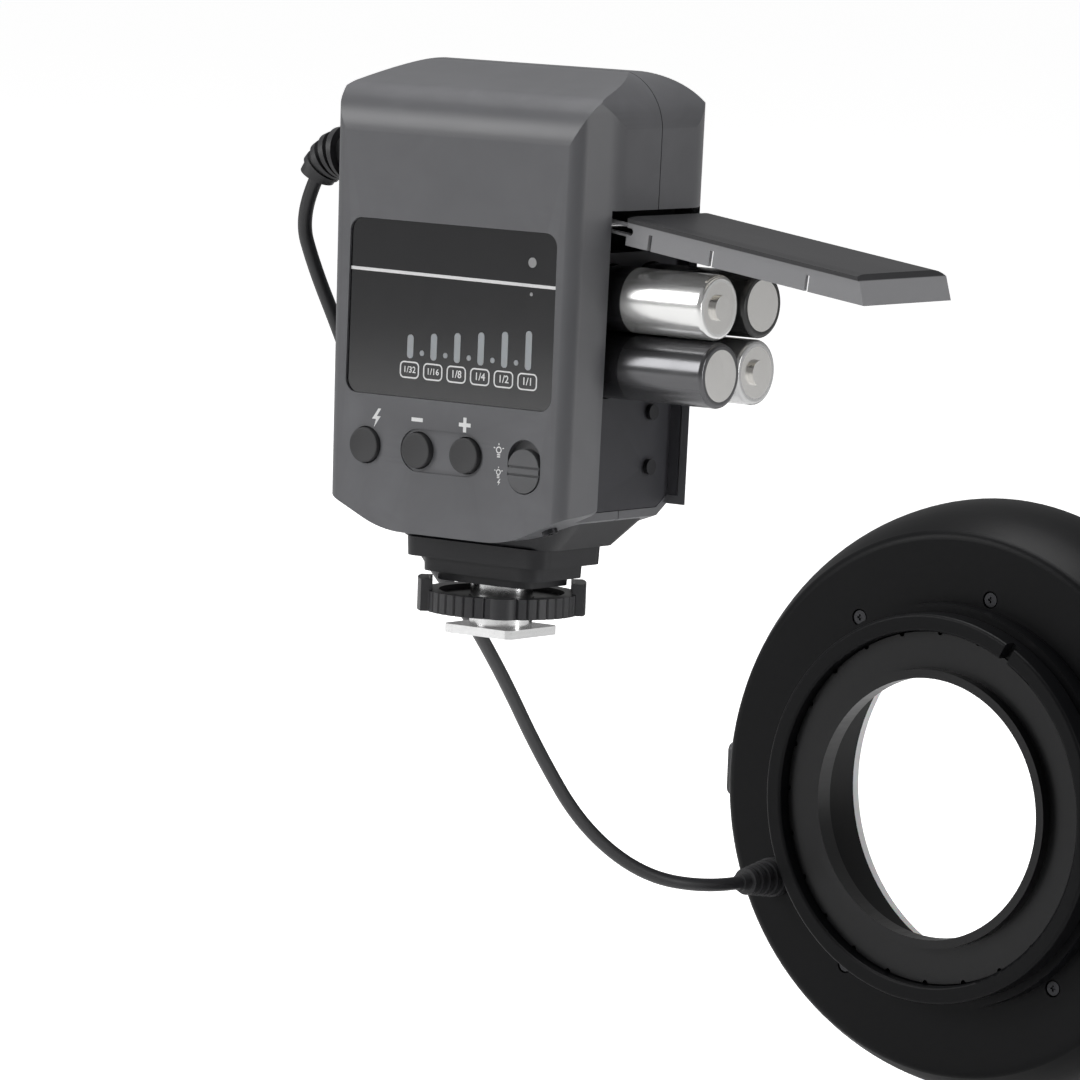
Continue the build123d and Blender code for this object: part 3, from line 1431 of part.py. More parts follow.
with BuildPart() as reflector:
    with BuildSketch(ring_plane):
        add(
            turned_section(
                [
                    (reflector_inner_radius, reflector_rear_y),
                    (reflector_outer_radius, reflector_rear_y),
                    (reflector_outer_radius, reflector_front_y),
                    (reflector_outer_radius - reflector_wall, reflector_front_y),
                    (reflector_outer_radius - reflector_wall, trough_floor_y),
                    (reflector_inner_radius + reflector_wall, trough_floor_y),
                    (reflector_inner_radius + reflector_wall, reflector_front_y),
                    (reflector_inner_radius, reflector_front_y),
                ]
            )
        )
    revolve(axis=ring_axis)
    with BuildSketch(Plane.XZ.offset(-board_face_y)):
        with Locations(*ring_screw_places):
            Circle(reflector_post_radius)
    extrude(amount=-(reflector_rear_y - board_face_y))
    for tube_middle_deg in (0.0, 180.0):
        for clip_side in (-1, 1):
            clip_deg = tube_middle_deg + clip_side * (tube_half_arc_deg - flash_tube_cap_arc_deg)
            with BuildSketch(turned_plane(clip_deg - tube_clip_arc_deg / 2)):
                with Locations((flash_tube_path_radius, (trough_floor_y + flash_tube_y) / 2)):
                    Rectangle(2 * tube_clip_half_width, flash_tube_y - trough_floor_y)
                with Locations((flash_tube_path_radius, flash_tube_y)):
                    Circle(flash_tube_radius, mode=Mode.SUBTRACT)
            revolve(axis=ring_axis, revolution_arc=tube_clip_arc_deg)
    with BuildSketch(Plane.XZ.offset(-board_face_y)):
        with Locations(*ring_screw_places):
            Circle(screw_shank_radius)
    extrude(amount=-(reflector_rear_y - board_face_y), mode=Mode.SUBTRACT)
reflector.part.label = "reflector"
export_step(reflector.part, "parts/reflector.step")

# Two flash tubes that follow the trough, with a cap on each end
for tube_name, tube_middle_deg in {"flash_tube_right": 0.0, "flash_tube_left": 180.0}.items():
    with BuildPart() as flash_tube:
        with BuildSketch(turned_plane(tube_middle_deg - tube_half_arc_deg)):
            with Locations((flash_tube_path_radius, flash_tube_y)):
                Circle(flash_tube_radius)
        revolve(axis=ring_axis, revolution_arc=flash_tube_arc_deg)
        for cap_start_deg in (-tube_half_arc_deg - flash_tube_cap_arc_deg, tube_half_arc_deg):
            with BuildSketch(turned_plane(tube_middle_deg + cap_start_deg)):
                with Locations((flash_tube_path_radius, flash_tube_y)):
                    Circle(flash_tube_cap_radius)
            revolve(axis=ring_axis, revolution_arc=flash_tube_cap_arc_deg)
    flash_tube.part.label = tube_name
    export_step(flash_tube.part, f"parts/{tube_name}.step")

# Focusing lamps in the gaps between the flash tubes
with BuildPart() as focus_lamps:
    for lamp_angle_deg in focus_lamp_angles_deg:
        lamp_turn = math.radians(lamp_angle_deg)
        lamp_place = (
            flash_tube_path_radius * math.cos(lamp_turn),
            lens_axis_z + flash_tube_path_radius * math.sin(lamp_turn),
        )
        with BuildSketch(Plane.XZ.offset(-trough_floor_y)):
            with Locations(lamp_place):
                Circle(focus_lamp_base_radius)
        extrude(amount=-focus_lamp_base_height)
        with BuildSketch(Plane.XZ.offset(-trough_floor_y)):
            with Locations(lamp_place):
                Circle(focus_lamp_radius)
        extrude(amount=-(focus_lamp_length - focus_lamp_radius))
        dome_y = trough_floor_y + focus_lamp_length - focus_lamp_radius
        with Locations((lamp_place[0], dome_y, lamp_place[1])):
            Sphere(focus_lamp_radius)
focus_lamps.part.label = "focus_lamps"
export_step(focus_lamps.part, "parts/focus_lamps.step")

# Screws in the rear face of the ring head
with BuildPart() as ring_screws:
    with BuildSketch(Plane.XZ.offset(-(ring_rear_y + ring_recess_depth - screw_head_height))):
        with Locations(*ring_screw_places):
            Circle(screw_head_radius)
    extrude(amount=-screw_head_height)
    with BuildSketch(Plane.XZ.offset(-(ring_rear_y + ring_recess_depth))):
        with Locations(*ring_screw_places):
            Circle(screw_shank_radius)
    extrude(amount=-ring_screw_reach)
    with BuildSketch(Plane.XZ.offset(-(ring_rear_y + ring_recess_depth - screw_head_height))):
        with Locations(*ring_screw_places):
            Rectangle(2 * screw_recess_radius, screw_recess_depth)
            Rectangle(screw_recess_depth, 2 * screw_recess_radius)
    extrude(amount=-screw_recess_depth, mode=Mode.SUBTRACT)
ring_screws.part.label = "ring_screws"
export_step(ring_screws.part, "parts/ring_screws.step")

# Adapter ring: male filter thread towards the lens, grooved rim for the collar's bead
with BuildPart() as adapter_ring:
    with BuildSketch(ring_plane):
        add(
            turned_section(
                [
                    (adapter_bore_radius, adapter_shoulder_y - adapter_thread_length),
                    (adapter_thread_radius, adapter_shoulder_y - adapter_thread_length),
                    (adapter_thread_radius, adapter_shoulder_y),
                    (adapter_radius, adapter_shoulder_y),
                    (adapter_radius, collar_bead_y - adapter_groove_width),
                    (adapter_radius - adapter_groove_depth, collar_bead_y - adapter_groove_width),
                    (adapter_radius - adapter_groove_depth, collar_bead_y + adapter_groove_width),
                    (adapter_radius, collar_bead_y + adapter_groove_width),
                    (adapter_radius, adapter_shoulder_y + adapter_length),
                    (adapter_radius - adapter_rim_wall, adapter_shoulder_y + adapter_length),
                    (adapter_radius - adapter_rim_wall, adapter_shoulder_y + adapter_shoulder_thickness),
                    (adapter_bore_radius, adapter_shoulder_y + adapter_shoulder_thickness),
                ]
            )
        )
    revolve(axis=ring_axis)
    with BuildSketch(Plane.XZ.offset(-adapter_shoulder_y)):
        with Locations((0, lens_axis_z)):
            with PolarLocations(adapter_radius, adapter_grip_count):
                Circle(adapter_grip_radius)
    extrude(amount=-(collar_bead_y - adapter_groove_width - adapter_shoulder_y) / 2, mode=Mode.SUBTRACT)
adapter_ring.part.label = "adapter_ring"
export_step(adapter_ring.part, "parts/adapter_ring.step")

# Release buttons on both sides of the ring head, held in by a flange
for release_name, ring_side in {"release_button_right": 1, "release_button_left": -1}.items():
    release_face_x = math.sqrt(ring_side_at(release_centre_y) ** 2 - (release_width / 2) ** 2)
    with BuildPart() as release_button:
        with BuildSketch(Plane.YZ.offset(ring_side * (release_flange_x - release_flange_thickness))):
            with Locations((release_centre_y, lens_axis_z)):
                RectangleRounded(
                    release_length + 2 * release_flange_overlap,
                    release_width + 2 * release_flange_overlap,
                    release_radius,
                )
        extrude(amount=ring_side * release_flange_thickness)
        with BuildSketch(Plane.YZ.offset(ring_side * release_flange_x)):
            with Locations((release_centre_y, lens_axis_z)):
                RectangleRounded(release_length, release_width, release_radius)
        extrude(amount=ring_side * (release_face_x + release_proud - release_flange_x))
        fillet(release_button.faces().sort_by(Axis.X)[-1 if ring_side > 0 else 0].edges(), release_proud / 3)
    release_button.part.label = release_name
    export_step(release_button.part, f"parts/{release_name}.step")
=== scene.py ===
"""Dresses the macro ring flash: finishes for every piece, printed marks, the cord and a photo stage."""

import math

import bmesh
import bpy
from mathutils import Matrix, Vector


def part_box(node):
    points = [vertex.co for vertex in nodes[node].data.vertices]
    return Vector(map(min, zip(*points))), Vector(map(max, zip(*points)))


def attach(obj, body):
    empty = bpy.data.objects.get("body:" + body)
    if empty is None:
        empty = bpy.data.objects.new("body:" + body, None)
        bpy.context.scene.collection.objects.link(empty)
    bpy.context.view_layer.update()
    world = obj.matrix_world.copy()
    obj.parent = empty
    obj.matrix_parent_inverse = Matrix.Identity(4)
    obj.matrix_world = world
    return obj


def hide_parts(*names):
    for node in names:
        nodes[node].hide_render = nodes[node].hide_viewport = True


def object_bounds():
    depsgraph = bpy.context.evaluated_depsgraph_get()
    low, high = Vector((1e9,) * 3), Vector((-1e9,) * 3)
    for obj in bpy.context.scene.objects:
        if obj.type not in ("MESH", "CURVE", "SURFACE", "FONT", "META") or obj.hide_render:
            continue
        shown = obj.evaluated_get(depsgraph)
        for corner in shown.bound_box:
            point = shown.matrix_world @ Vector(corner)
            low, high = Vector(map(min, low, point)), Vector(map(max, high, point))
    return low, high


bl_info = {
    "name": "Macro Ring Flash Looks",
    "version": (1, 0, 0),
    "blender": (4, 5, 0),
    "location": "View3D > Sidebar > Ring Flash",
    "description": "Finishes, printed marks, cord and stage for a macro ring flash",
    "category": "Object",
}

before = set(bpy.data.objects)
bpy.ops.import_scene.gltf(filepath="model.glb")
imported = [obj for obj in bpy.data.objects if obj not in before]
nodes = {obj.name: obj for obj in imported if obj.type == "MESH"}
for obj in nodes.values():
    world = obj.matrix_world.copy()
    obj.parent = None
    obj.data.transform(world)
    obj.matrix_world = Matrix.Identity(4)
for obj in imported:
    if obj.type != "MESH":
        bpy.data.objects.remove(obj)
cad_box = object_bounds()

MM = 0.001
UNIT_BODY = "control_unit"

# Places on the control unit's rear face, in metres, seen from behind
PANEL_FACE_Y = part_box("display_panel")[0][1]
CASING_FACE_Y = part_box("rear_casing")[0][1]
BAR_FIRST_X = -11.0 * MM
BAR_PITCH = 6.44 * MM
LABEL_Z = 58.05 * MM
LABELS = ("1/32", "1/16", "1/8", "1/4", "1/2", "1/1")
LINE_LEFT = Vector((-28.1 * MM, 0, 79.15 * MM))
LINE_RIGHT = Vector((28.1 * MM, 0, 78.7 * MM))

# The open door's slope and the thickness of its plate
DOOR_DROOP = math.radians(7.6)
DOOR_PLATE = 1.3 * MM
DOOR_EDGE = 0.1 * MM

# Cells: where the wrapper changes tone along its length, and the bare metal inside its lip
CELL_SEAM_SHARE = 0.56
CELL_SEAM = 0.05 * MM
CELL_BARE_RADIUS = 5.6 * MM

# Boxes of the power labels
LABEL_WIDTH = 5.3 * MM
LABEL_HEIGHT = 3.7 * MM
LABEL_CORNER = 1.1 * MM
LABEL_LINE = 0.32 * MM
SHORT_TEXT_SIZE = 2.3 * MM
LONG_TEXT_SIZE = 1.95 * MM

# Outline of the flash sign, in shares of its height
BOLT_SHARES = (
    (0.12, 0.5),
    (-0.28, -0.06),
    (-0.02, -0.06),
    (-0.14, -0.5),
    (0.28, 0.1),
    (0.03, 0.1),
    (0.3, 0.5),
)

# Camera: a frame of this many pixels, with the focal length in the same pixels
FRAME_PIXELS = 1080.0
FOCAL_PIXELS = 7324.0
SENSOR_WIDTH = 36.0
VIEW_CENTRE_Z = 60.0 * MM
VIEW_SHIFT_RIGHT = 7.95 * MM
VIEW_SHIFT_DOWN = 38.94 * MM

# How strongly the white background shows in gloss, and how much it lights the rest
GLOSSY_BACKGROUND = 0.3
WORLD_FILL = 0.14

# Soft boxes: name, place, aim, size and power
LAMPS = (
    ("key_box", (-1.3, -1.5, 0.9), (0, 0, 0.03), (1.0, 1.0), 20.0),
    ("side_strip", (1.9, 0.35, 0.45), (0, 0.0, 0.08), (0.22, 1.3), 10.0),
    ("top_box", (-0.3, 0.1, 1.8), (0, 0.05, 0.0), (1.2, 1.2), 25.0),
)

# The cord's route from the unit's boot to the ring head's boot, in metres
CORD_ROUTE = (
    (-0.050990, -0.0060, 0.097164),
    (-0.055685, -0.0060, 0.088335),
    (-0.0534, -0.0030, 0.0765),
    (-0.0494, 0.0020, 0.0620),
    (-0.0474, 0.0090, 0.0460),
    (-0.0478, 0.0194, 0.0296),
    (-0.0510, 0.0360, 0.0120),
    (-0.0550, 0.0580, -0.0040),
    (-0.0600, 0.0800, -0.0220),
    (-0.0640, 0.1000, -0.0420),
    (-0.0635, 0.1180, -0.0620),
    (-0.0580, 0.1360, -0.0750),
    (-0.050391, 0.1530, -0.078498),
    (-0.050391, 0.1650, -0.078498),
)


class CasingSettings(bpy.types.PropertyGroup):
    """Finish of the moulded casing, door and base."""

    casing_color: bpy.props.FloatVectorProperty(
        name="Casing colour",
        description="Mid grey of the moulded casing",
        subtype="COLOR",
        default=(0.1, 0.101, 0.108),
    )
    base_color: bpy.props.FloatVectorProperty(
        name="Base colour",
        description="Near black of the base and lock ring",
        subtype="COLOR",
        default=(0.016, 0.016, 0.018),
    )
    door_color: bpy.props.FloatVectorProperty(
        name="Door colour",
        description="Charcoal outside of the battery door",
        subtype="COLOR",
        default=(0.014, 0.014, 0.016),
    )
    # Lighter grey of the door's flange: painted light where the flange catches the lamps
    flange_painted_light_color: bpy.props.FloatVectorProperty(
        name="Door flange colour",
        description="Lighter grey of the door's flange",
        subtype="COLOR",
        default=(0.27, 0.27, 0.28),
    )
    grain_size: bpy.props.FloatProperty(
        name="Grain size",
        description="Size of the moulded texture's cells",
        subtype="DISTANCE",
        default=0.35 * MM,
        min=0.05 * MM,
        max=2 * MM,
    )


class PanelSettings(bpy.types.PropertyGroup):
    """Display panel and the marks printed on the unit."""

    panel_color: bpy.props.FloatVectorProperty(
        name="Panel colour",
        description="Smoked black of the display panel",
        subtype="COLOR",
        default=(0.006, 0.006, 0.0075),
    )
    print_color: bpy.props.FloatVectorProperty(
        name="Print colour",
        description="White of the printed marks",
        subtype="COLOR",
        default=(0.82, 0.82, 0.82),
    )
    guide_color: bpy.props.FloatVectorProperty(
        name="Light guide colour",
        description="Frosted grey of the unlit level bars",
        subtype="COLOR",
        default=(0.4, 0.4, 0.41),
    )
    print_thickness: bpy.props.FloatProperty(
        name="Print thickness",
        description="How proud the print stands",
        subtype="DISTANCE",
        default=0.04 * MM,
        min=0.01 * MM,
        max=0.2 * MM,
    )
    line_width: bpy.props.FloatProperty(
        name="Line width",
        description="Width of the panel's dividing line",
        subtype="DISTANCE",
        default=0.7 * MM,
        min=0.2 * MM,
        max=2 * MM,
    )


class RingSettings(bpy.types.PropertyGroup):
    """Finish of the ring head and its diffuser."""

    ring_color: bpy.props.FloatVectorProperty(
        name="Ring colour",
        description="Dark grey of the ring head",
        subtype="COLOR",
        default=(0.004, 0.0041, 0.0047),
    )
    adapter_color: bpy.props.FloatVectorProperty(
        name="Adapter colour",
        description="Black anodising of the adapter ring",
        subtype="COLOR",
        default=(0.005, 0.005, 0.0056),
    )
    diffuser_color: bpy.props.FloatVectorProperty(
        name="Diffuser colour",
        description="Frosted white of the diffuser",
        subtype="COLOR",
        default=(0.78, 0.79, 0.8),
    )


class CordSettings(bpy.types.PropertyGroup):
    """The free cord between the unit and the ring head."""

    diameter: bpy.props.FloatProperty(
        name="Cord diameter",
        description="Outer diameter of the cord's jacket",
        subtype="DISTANCE",
        default=3.2 * MM,
        min=1 * MM,
        max=8 * MM,
    )
    length: bpy.props.FloatProperty(
        name="Cord length",
        description="Length between the two boots",
        subtype="DISTANCE",
        default=0.264,
        min=0.1,
        max=1.0,
    )
    jacket_color: bpy.props.FloatVectorProperty(
        name="Jacket colour",
        description="Black of the cord's jacket",
        subtype="COLOR",
        default=(0.02, 0.02, 0.022),
    )


class StageSettings(bpy.types.PropertyGroup):
    """Camera, floor and lights of the photo stage."""

    view_distance: bpy.props.FloatProperty(
        name="Camera distance",
        description="From the camera to its target",
        subtype="DISTANCE",
        default=1.6,
        min=0.3,
        max=10,
    )
    azimuth: bpy.props.FloatProperty(
        name="Azimuth",
        description="Camera's turn round the unit from straight behind",
        subtype="ANGLE",
        default=math.radians(37.08),
    )
    elevation: bpy.props.FloatProperty(
        name="Elevation",
        description="Camera's height angle",
        subtype="ANGLE",
        default=math.radians(6.21),
    )
    roll: bpy.props.FloatProperty(
        name="Roll",
        description="Camera's roll about its own axis",
        subtype="ANGLE",
        default=math.radians(2.14),
    )
    floor_lift: bpy.props.FloatProperty(
        name="Floor lift",
        description="How much whiter the floor looks to the camera than it is lit",
        default=0.85,
        min=0,
        max=1,
    )
    floor_gap: bpy.props.FloatProperty(
        name="Floor gap",
        description="Space left under the lowest point",
        subtype="DISTANCE",
        default=0.2 * MM,
        min=0,
        max=0.1,
    )


SETTINGS = {
    "flash_casing": CasingSettings,
    "flash_panel": PanelSettings,
    "flash_ring": RingSettings,
    "flash_cord": CordSettings,
    "flash_stage": StageSettings,
}


def node_group(name, inputs, outputs):
    """New shader node group with named float inputs and outputs, and its two end nodes."""
    group = bpy.data.node_groups.new(name, "ShaderNodeTree")
    for label, value in inputs.items():
        kind = "NodeSocketColor" if isinstance(value, tuple) else "NodeSocketFloat"
        socket = group.interface.new_socket(name=label, in_out="INPUT", socket_type=kind)
        socket.default_value = value
    for label, kind in outputs.items():
        group.interface.new_socket(name=label, in_out="OUTPUT", socket_type=kind)
    entry = group.nodes.new("NodeGroupInput")
    leave = group.nodes.new("NodeGroupOutput")
    return group, entry, leave


def math_node(tree, operation, first, second=None, clamp=False):
    """Math node whose two values are sockets or plain numbers."""
    node = tree.nodes.new("ShaderNodeMath")
    node.operation = operation
    node.use_clamp = clamp
    for index, value in enumerate((first, second)):
        if value is None:
            continue
        if isinstance(value, bpy.types.NodeSocket):
            tree.links.new(value, node.inputs[index])
        else:
            node.inputs[index].default_value = value
    return node.outputs[0]


def background_rays(tree):
    """1 for rays that show the background: to the camera, off gloss and through glass."""
    rays = tree.nodes.new("ShaderNodeLightPath")
    seen = math_node(tree, "MAXIMUM", rays.outputs["Is Camera Ray"], rays.outputs["Is Transmission Ray"])
    glossy = math_node(tree, "MULTIPLY", rays.outputs["Is Glossy Ray"], GLOSSY_BACKGROUND)
    return math_node(tree, "MAXIMUM", seen, glossy)


def moulded_grain_group():
    """Spark-eroded texture of moulded plastic: height, roughness and a tint mask."""
    group, entry, leave = node_group(
        "moulded_grain",
        {"Scale": 2800.0, "Roughness": 0.55, "Spread": 0.08},
        {"Height": "NodeSocketFloat", "Roughness": "NodeSocketFloat", "Tint": "NodeSocketFloat"},
    )
    place = group.nodes.new("ShaderNodeTexCoord")
    cells = group.nodes.new("ShaderNodeTexNoise")
    cells.inputs["Detail"].default_value = 3.0
    cells.inputs["Roughness"].default_value = 0.65
    group.links.new(place.outputs["Object"], cells.inputs["Vector"])
    group.links.new(entry.outputs["Scale"], cells.inputs["Scale"])
    clouds = group.nodes.new("ShaderNodeTexNoise")
    clouds.inputs["Scale"].default_value = 55.0
    clouds.inputs["Detail"].default_value = 4.0
    group.links.new(place.outputs["Object"], clouds.inputs["Vector"])
    group.links.new(cells.outputs["Fac"], leave.inputs["Height"])
    swing = math_node(group, "SUBTRACT", clouds.outputs["Fac"], 0.5)
    swing = math_node(group, "MULTIPLY", swing, entry.outputs["Spread"])
    rough = math_node(group, "ADD", swing, entry.outputs["Roughness"], clamp=True)
    group.links.new(rough, leave.inputs["Roughness"])
    group.links.new(clouds.outputs["Fac"], leave.inputs["Tint"])
    return group


def handling_group():
    """Rubbed edges and faint smears left by hands: a mask and a roughness."""
    group, entry, leave = node_group(
        "handling_wear",
        {"Roughness": 0.3, "Smear": 0.12},
        {"Edge": "NodeSocketFloat", "Roughness": "NodeSocketFloat"},
    )
    geometry = group.nodes.new("ShaderNodeNewGeometry")
    edge = group.nodes.new("ShaderNodeMapRange")
    edge.inputs["From Min"].default_value = 0.52
    edge.inputs["From Max"].default_value = 0.62
    group.links.new(geometry.outputs["Pointiness"], edge.inputs["Value"])
    place = group.nodes.new("ShaderNodeTexCoord")
    smears = group.nodes.new("ShaderNodeTexNoise")
    smears.inputs["Scale"].default_value = 90.0
    smears.inputs["Detail"].default_value = 5.0
    smears.inputs["Distortion"].default_value = 1.2
    group.links.new(place.outputs["Object"], smears.inputs["Vector"])
    patchy = math_node(group, "MULTIPLY", edge.outputs["Result"], smears.outputs["Fac"], clamp=True)
    group.links.new(patchy, leave.inputs["Edge"])
    swing = math_node(group, "SUBTRACT", smears.outputs["Fac"], 0.5)
    swing = math_node(group, "MULTIPLY", swing, entry.outputs["Smear"])
    rough = math_node(group, "ADD", swing, entry.outputs["Roughness"], clamp=True)
    group.links.new(rough, leave.inputs["Roughness"])
    return group


def turned_metal_group():
    """Fine lathe or drawing lines of metal, along a chosen stretch."""
    group, entry, leave = node_group(
        "drawn_metal",
        {"Along X": 1.0, "Along Y": 1.0, "Along Z": 1.0, "Roughness": 0.25},
        {"Height": "NodeSocketFloat", "Roughness": "NodeSocketFloat"},
    )
    place = group.nodes.new("ShaderNodeTexCoord")
    stretch = group.nodes.new("ShaderNodeCombineXYZ")
    for axis in "XYZ":
        group.links.new(entry.outputs["Along " + axis], stretch.inputs[axis])
    scaled = group.nodes.new("ShaderNodeVectorMath")
    scaled.operation = "MULTIPLY"
    group.links.new(place.outputs["Object"], scaled.inputs[0])
    group.links.new(stretch.outputs[0], scaled.inputs[1])
    lines = group.nodes.new("ShaderNodeTexNoise")
    lines.inputs["Scale"].default_value = 1600.0
    lines.inputs["Detail"].default_value = 2.0
    group.links.new(scaled.outputs[0], lines.inputs["Vector"])
    group.links.new(lines.outputs["Fac"], leave.inputs["Height"])
    swing = math_node(group, "SUBTRACT", lines.outputs["Fac"], 0.5)
    swing = math_node(group, "MULTIPLY", swing, 0.2)
    rough = math_node(group, "ADD", swing, entry.outputs["Roughness"], clamp=True)
    group.links.new(rough, leave.inputs["Roughness"])
    return group


class Finish:
    """One material under construction, with its Principled BSDF and links."""

    def __init__(self, name, color, roughness=0.5, metallic=0.0):
        self.material = bpy.data.materials.new(name)
        self.material.use_nodes = True
        self.tree = self.material.node_tree
        self.shader = self.tree.nodes["Principled BSDF"]
        self.color = (*color[:3], 1.0)
        self.shader.inputs["Base Color"].default_value = self.color
        self.shader.inputs["Roughness"].default_value = roughness
        self.shader.inputs["Metallic"].default_value = metallic
        self.material.diffuse_color = self.color
        self.material.roughness = roughness
        self.material.metallic = metallic

    def set(self, **values):
        """Plain values on the shader's own sockets, written with underscores."""
        for key, value in values.items():
            self.shader.inputs[key.replace("_", " ")].default_value = value
        return self

    def place(self, group_name, **values):
        """Puts a shared node group into the material with this material's values."""
        node = self.tree.nodes.new("ShaderNodeGroup")
        node.node_tree = bpy.data.node_groups[group_name]
        for key, value in values.items():
            node.inputs[key.replace("_", " ")].default_value = value
        return node

    def bump(self, height, depth, strength=1.0):
        """Feeds a height into the shader's normal."""
        node = self.tree.nodes.new("ShaderNodeBump")
        node.inputs["Distance"].default_value = depth
        node.inputs["Strength"].default_value = strength
        self.tree.links.new(height, node.inputs["Height"])
        self.tree.links.new(node.outputs["Normal"], self.shader.inputs["Normal"])
        return self

    def link(self, output, socket):
        """Links an output to a named socket of the shader."""
        self.tree.links.new(output, self.shader.inputs[socket])
        return self

    def mix(self, mask, first, second):
        """Colour that goes from first to second as the mask rises."""
        node = self.tree.nodes.new("ShaderNodeMix")
        node.data_type = "RGBA"
        self.tree.links.new(mask, node.inputs["Factor"])
        for socket, value in ((node.inputs[6], first), (node.inputs[7], second)):
            if isinstance(value, bpy.types.NodeSocket):
                self.tree.links.new(value, socket)
            else:
                socket.default_value = (*value[:3], 1.0)
        return node.outputs[2]


def shade(color, factor):
    """The same colour, lighter or darker."""
    return tuple(min(channel * factor, 1.0) for channel in color[:3])


def moulded_finish(name, color, roughness=0.55, scale=2800.0, depth=0.012 * MM, wear=0.5):
    """Grained plastic with a soft tint change and slightly rubbed edges."""
    finish = Finish(name, color, roughness)
    grain = finish.place("moulded_grain", Scale=scale, Roughness=roughness, Spread=0.1)
    worn = finish.place("handling_wear")
    tinted = finish.mix(grain.outputs["Tint"], shade(color, 0.9), shade(color, 1.1))
    softened = math_node(finish.tree, "MULTIPLY", worn.outputs["Edge"], wear, clamp=True)
    finish.link(finish.mix(softened, tinted, shade(color, 1.9)), "Base Color")
    finish.link(grain.outputs["Roughness"], "Roughness")
    finish.bump(grain.outputs["Height"], depth)
    return finish


def metal_finish(name, color, roughness=0.25, stretch=(1.0, 1.0, 1.0), depth=0.004 * MM):
    """Metal with fine lines, coarser along the axis with the small stretch."""
    finish = Finish(name, color, roughness, metallic=1.0)
    lines = finish.place(
        "drawn_metal", Along_X=stretch[0], Along_Y=stretch[1], Along_Z=stretch[2], Roughness=roughness
    )
    finish.link(lines.outputs["Roughness"], "Roughness")
    finish.bump(lines.outputs["Height"], depth)
    return finish


def gloss_finish(name, color, roughness=0.12, smear=0.1, **values):
    """Smooth plastic with faint smears."""
    finish = Finish(name, color, roughness)
    worn = finish.place("handling_wear", Roughness=roughness, Smear=smear)
    finish.link(worn.outputs["Roughness"], "Roughness")
    finish.set(**values)
    return finish


def object_axis(finish, axis):
    """One coordinate of the piece's own space, in metres."""
    place = finish.tree.nodes.new("ShaderNodeTexCoord")
    split = finish.tree.nodes.new("ShaderNodeSeparateXYZ")
    finish.tree.links.new(place.outputs["Object"], split.inputs[0])
    return split.outputs[axis]


def step(finish, value, start, end):
    """Mask that rises from 0 to 1 between two values."""
    node = finish.tree.nodes.new("ShaderNodeMapRange")
    node.inputs["From Min"].default_value = start
    node.inputs["From Max"].default_value = end
    finish.tree.links.new(value, node.inputs["Value"])
    return node.outputs["Result"]


def dress(node_name, finish):
    """Gives a CAD node one material in all its slots."""
    piece = nodes[node_name]
    piece.data.materials.clear()
    piece.data.materials.append(finish.material)


def new_piece(name, mesh, material, body):
    """Object from a mesh that rides on a body, with its material."""
    piece = bpy.data.objects.new(name, mesh)
    bpy.context.collection.objects.link(piece)
    mesh.materials.clear()
    mesh.materials.append(material)
    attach(piece, body)
    return piece


def prism_mesh(name, outlines, face_y, thickness):
    """Flat prints from closed (x, z) outlines, standing a little proud of a rear-facing surface."""
    made = bmesh.new()
    for outline in outlines:
        front = [made.verts.new((x, face_y - thickness, z)) for x, z in outline]
        back = [made.verts.new((x, face_y + thickness, z)) for x, z in outline]
        made.faces.new(front)
        count = len(outline)
        for index in range(count):
            after = (index + 1) % count
            made.faces.new((front[index], back[index], back[after], front[after]))
    bmesh.ops.recalc_face_normals(made, faces=made.faces)
    bmesh.ops.triangulate(made, faces=[face for face in made.faces if len(face.verts) > 4])
    mesh = bpy.data.meshes.new(name)
    made.to_mesh(mesh)
    made.free()
    return mesh


def rounded_frame(centre_x, centre_z, width, height, radius, line):
    """Quads that make the outline of a rounded box, as (x, z) strips."""
    outer, inner = [], []
    for corner_x, corner_z, start in ((1, 1, 0), (-1, 1, 90), (-1, -1, 180), (1, -1, 270)):
        for turn in range(0, 91, 15):
            angle = math.radians(start + turn)
            middle_x = centre_x + corner_x * (width / 2 - radius)
            middle_z = centre_z + corner_z * (height / 2 - radius)
            outer.append((middle_x + radius * math.cos(angle), middle_z + radius * math.sin(angle)))
            shrunk = radius - line
            inner.append((middle_x + shrunk * math.cos(angle), middle_z + shrunk * math.sin(angle)))
    count = len(outer)
    return [
        (outer[index], outer[(index + 1) % count], inner[(index + 1) % count], inner[index])
        for index in range(count)
    ]


def text_mesh(name, words, centre_x, centre_z, size, face_y, thickness):
    """Small printed number that faces backwards, centred on a place."""
    curve = bpy.data.curves.new(name, "FONT")
    curve.body = words
    curve.size = size
    curve.align_x = "CENTER"
    curve.align_y = "CENTER"
    curve.extrude = thickness
    curve.resolution_u = 2
    curve.offset = size * 0.012
    holder = bpy.data.objects.new(name, curve)
    bpy.context.collection.objects.link(holder)
    mesh = bpy.data.meshes.new_from_object(holder)
    bpy.data.objects.remove(holder)
    turn = Matrix.Rotation(math.radians(90), 4, "X")
    mesh.transform(Matrix.Translation((centre_x, face_y, centre_z)) @ turn)
    return mesh


def joined_mesh(name, meshes):
    """One mesh out of several."""
    made = bmesh.new()
    for mesh in meshes:
        made.from_mesh(mesh)
        bpy.data.meshes.remove(mesh)
    mesh = bpy.data.meshes.new(name)
    made.to_mesh(mesh)
    made.free()
    return mesh


class FLASH_OT_shared_groups(bpy.types.Operator):
    """Build the node groups that several finishes share."""

    bl_idname = "flash.shared_groups"
    bl_label = "Build shared textures"

    def execute(self, context):
        moulded_grain_group()
        handling_group()
        turned_metal_group()
        return {"FINISHED"}


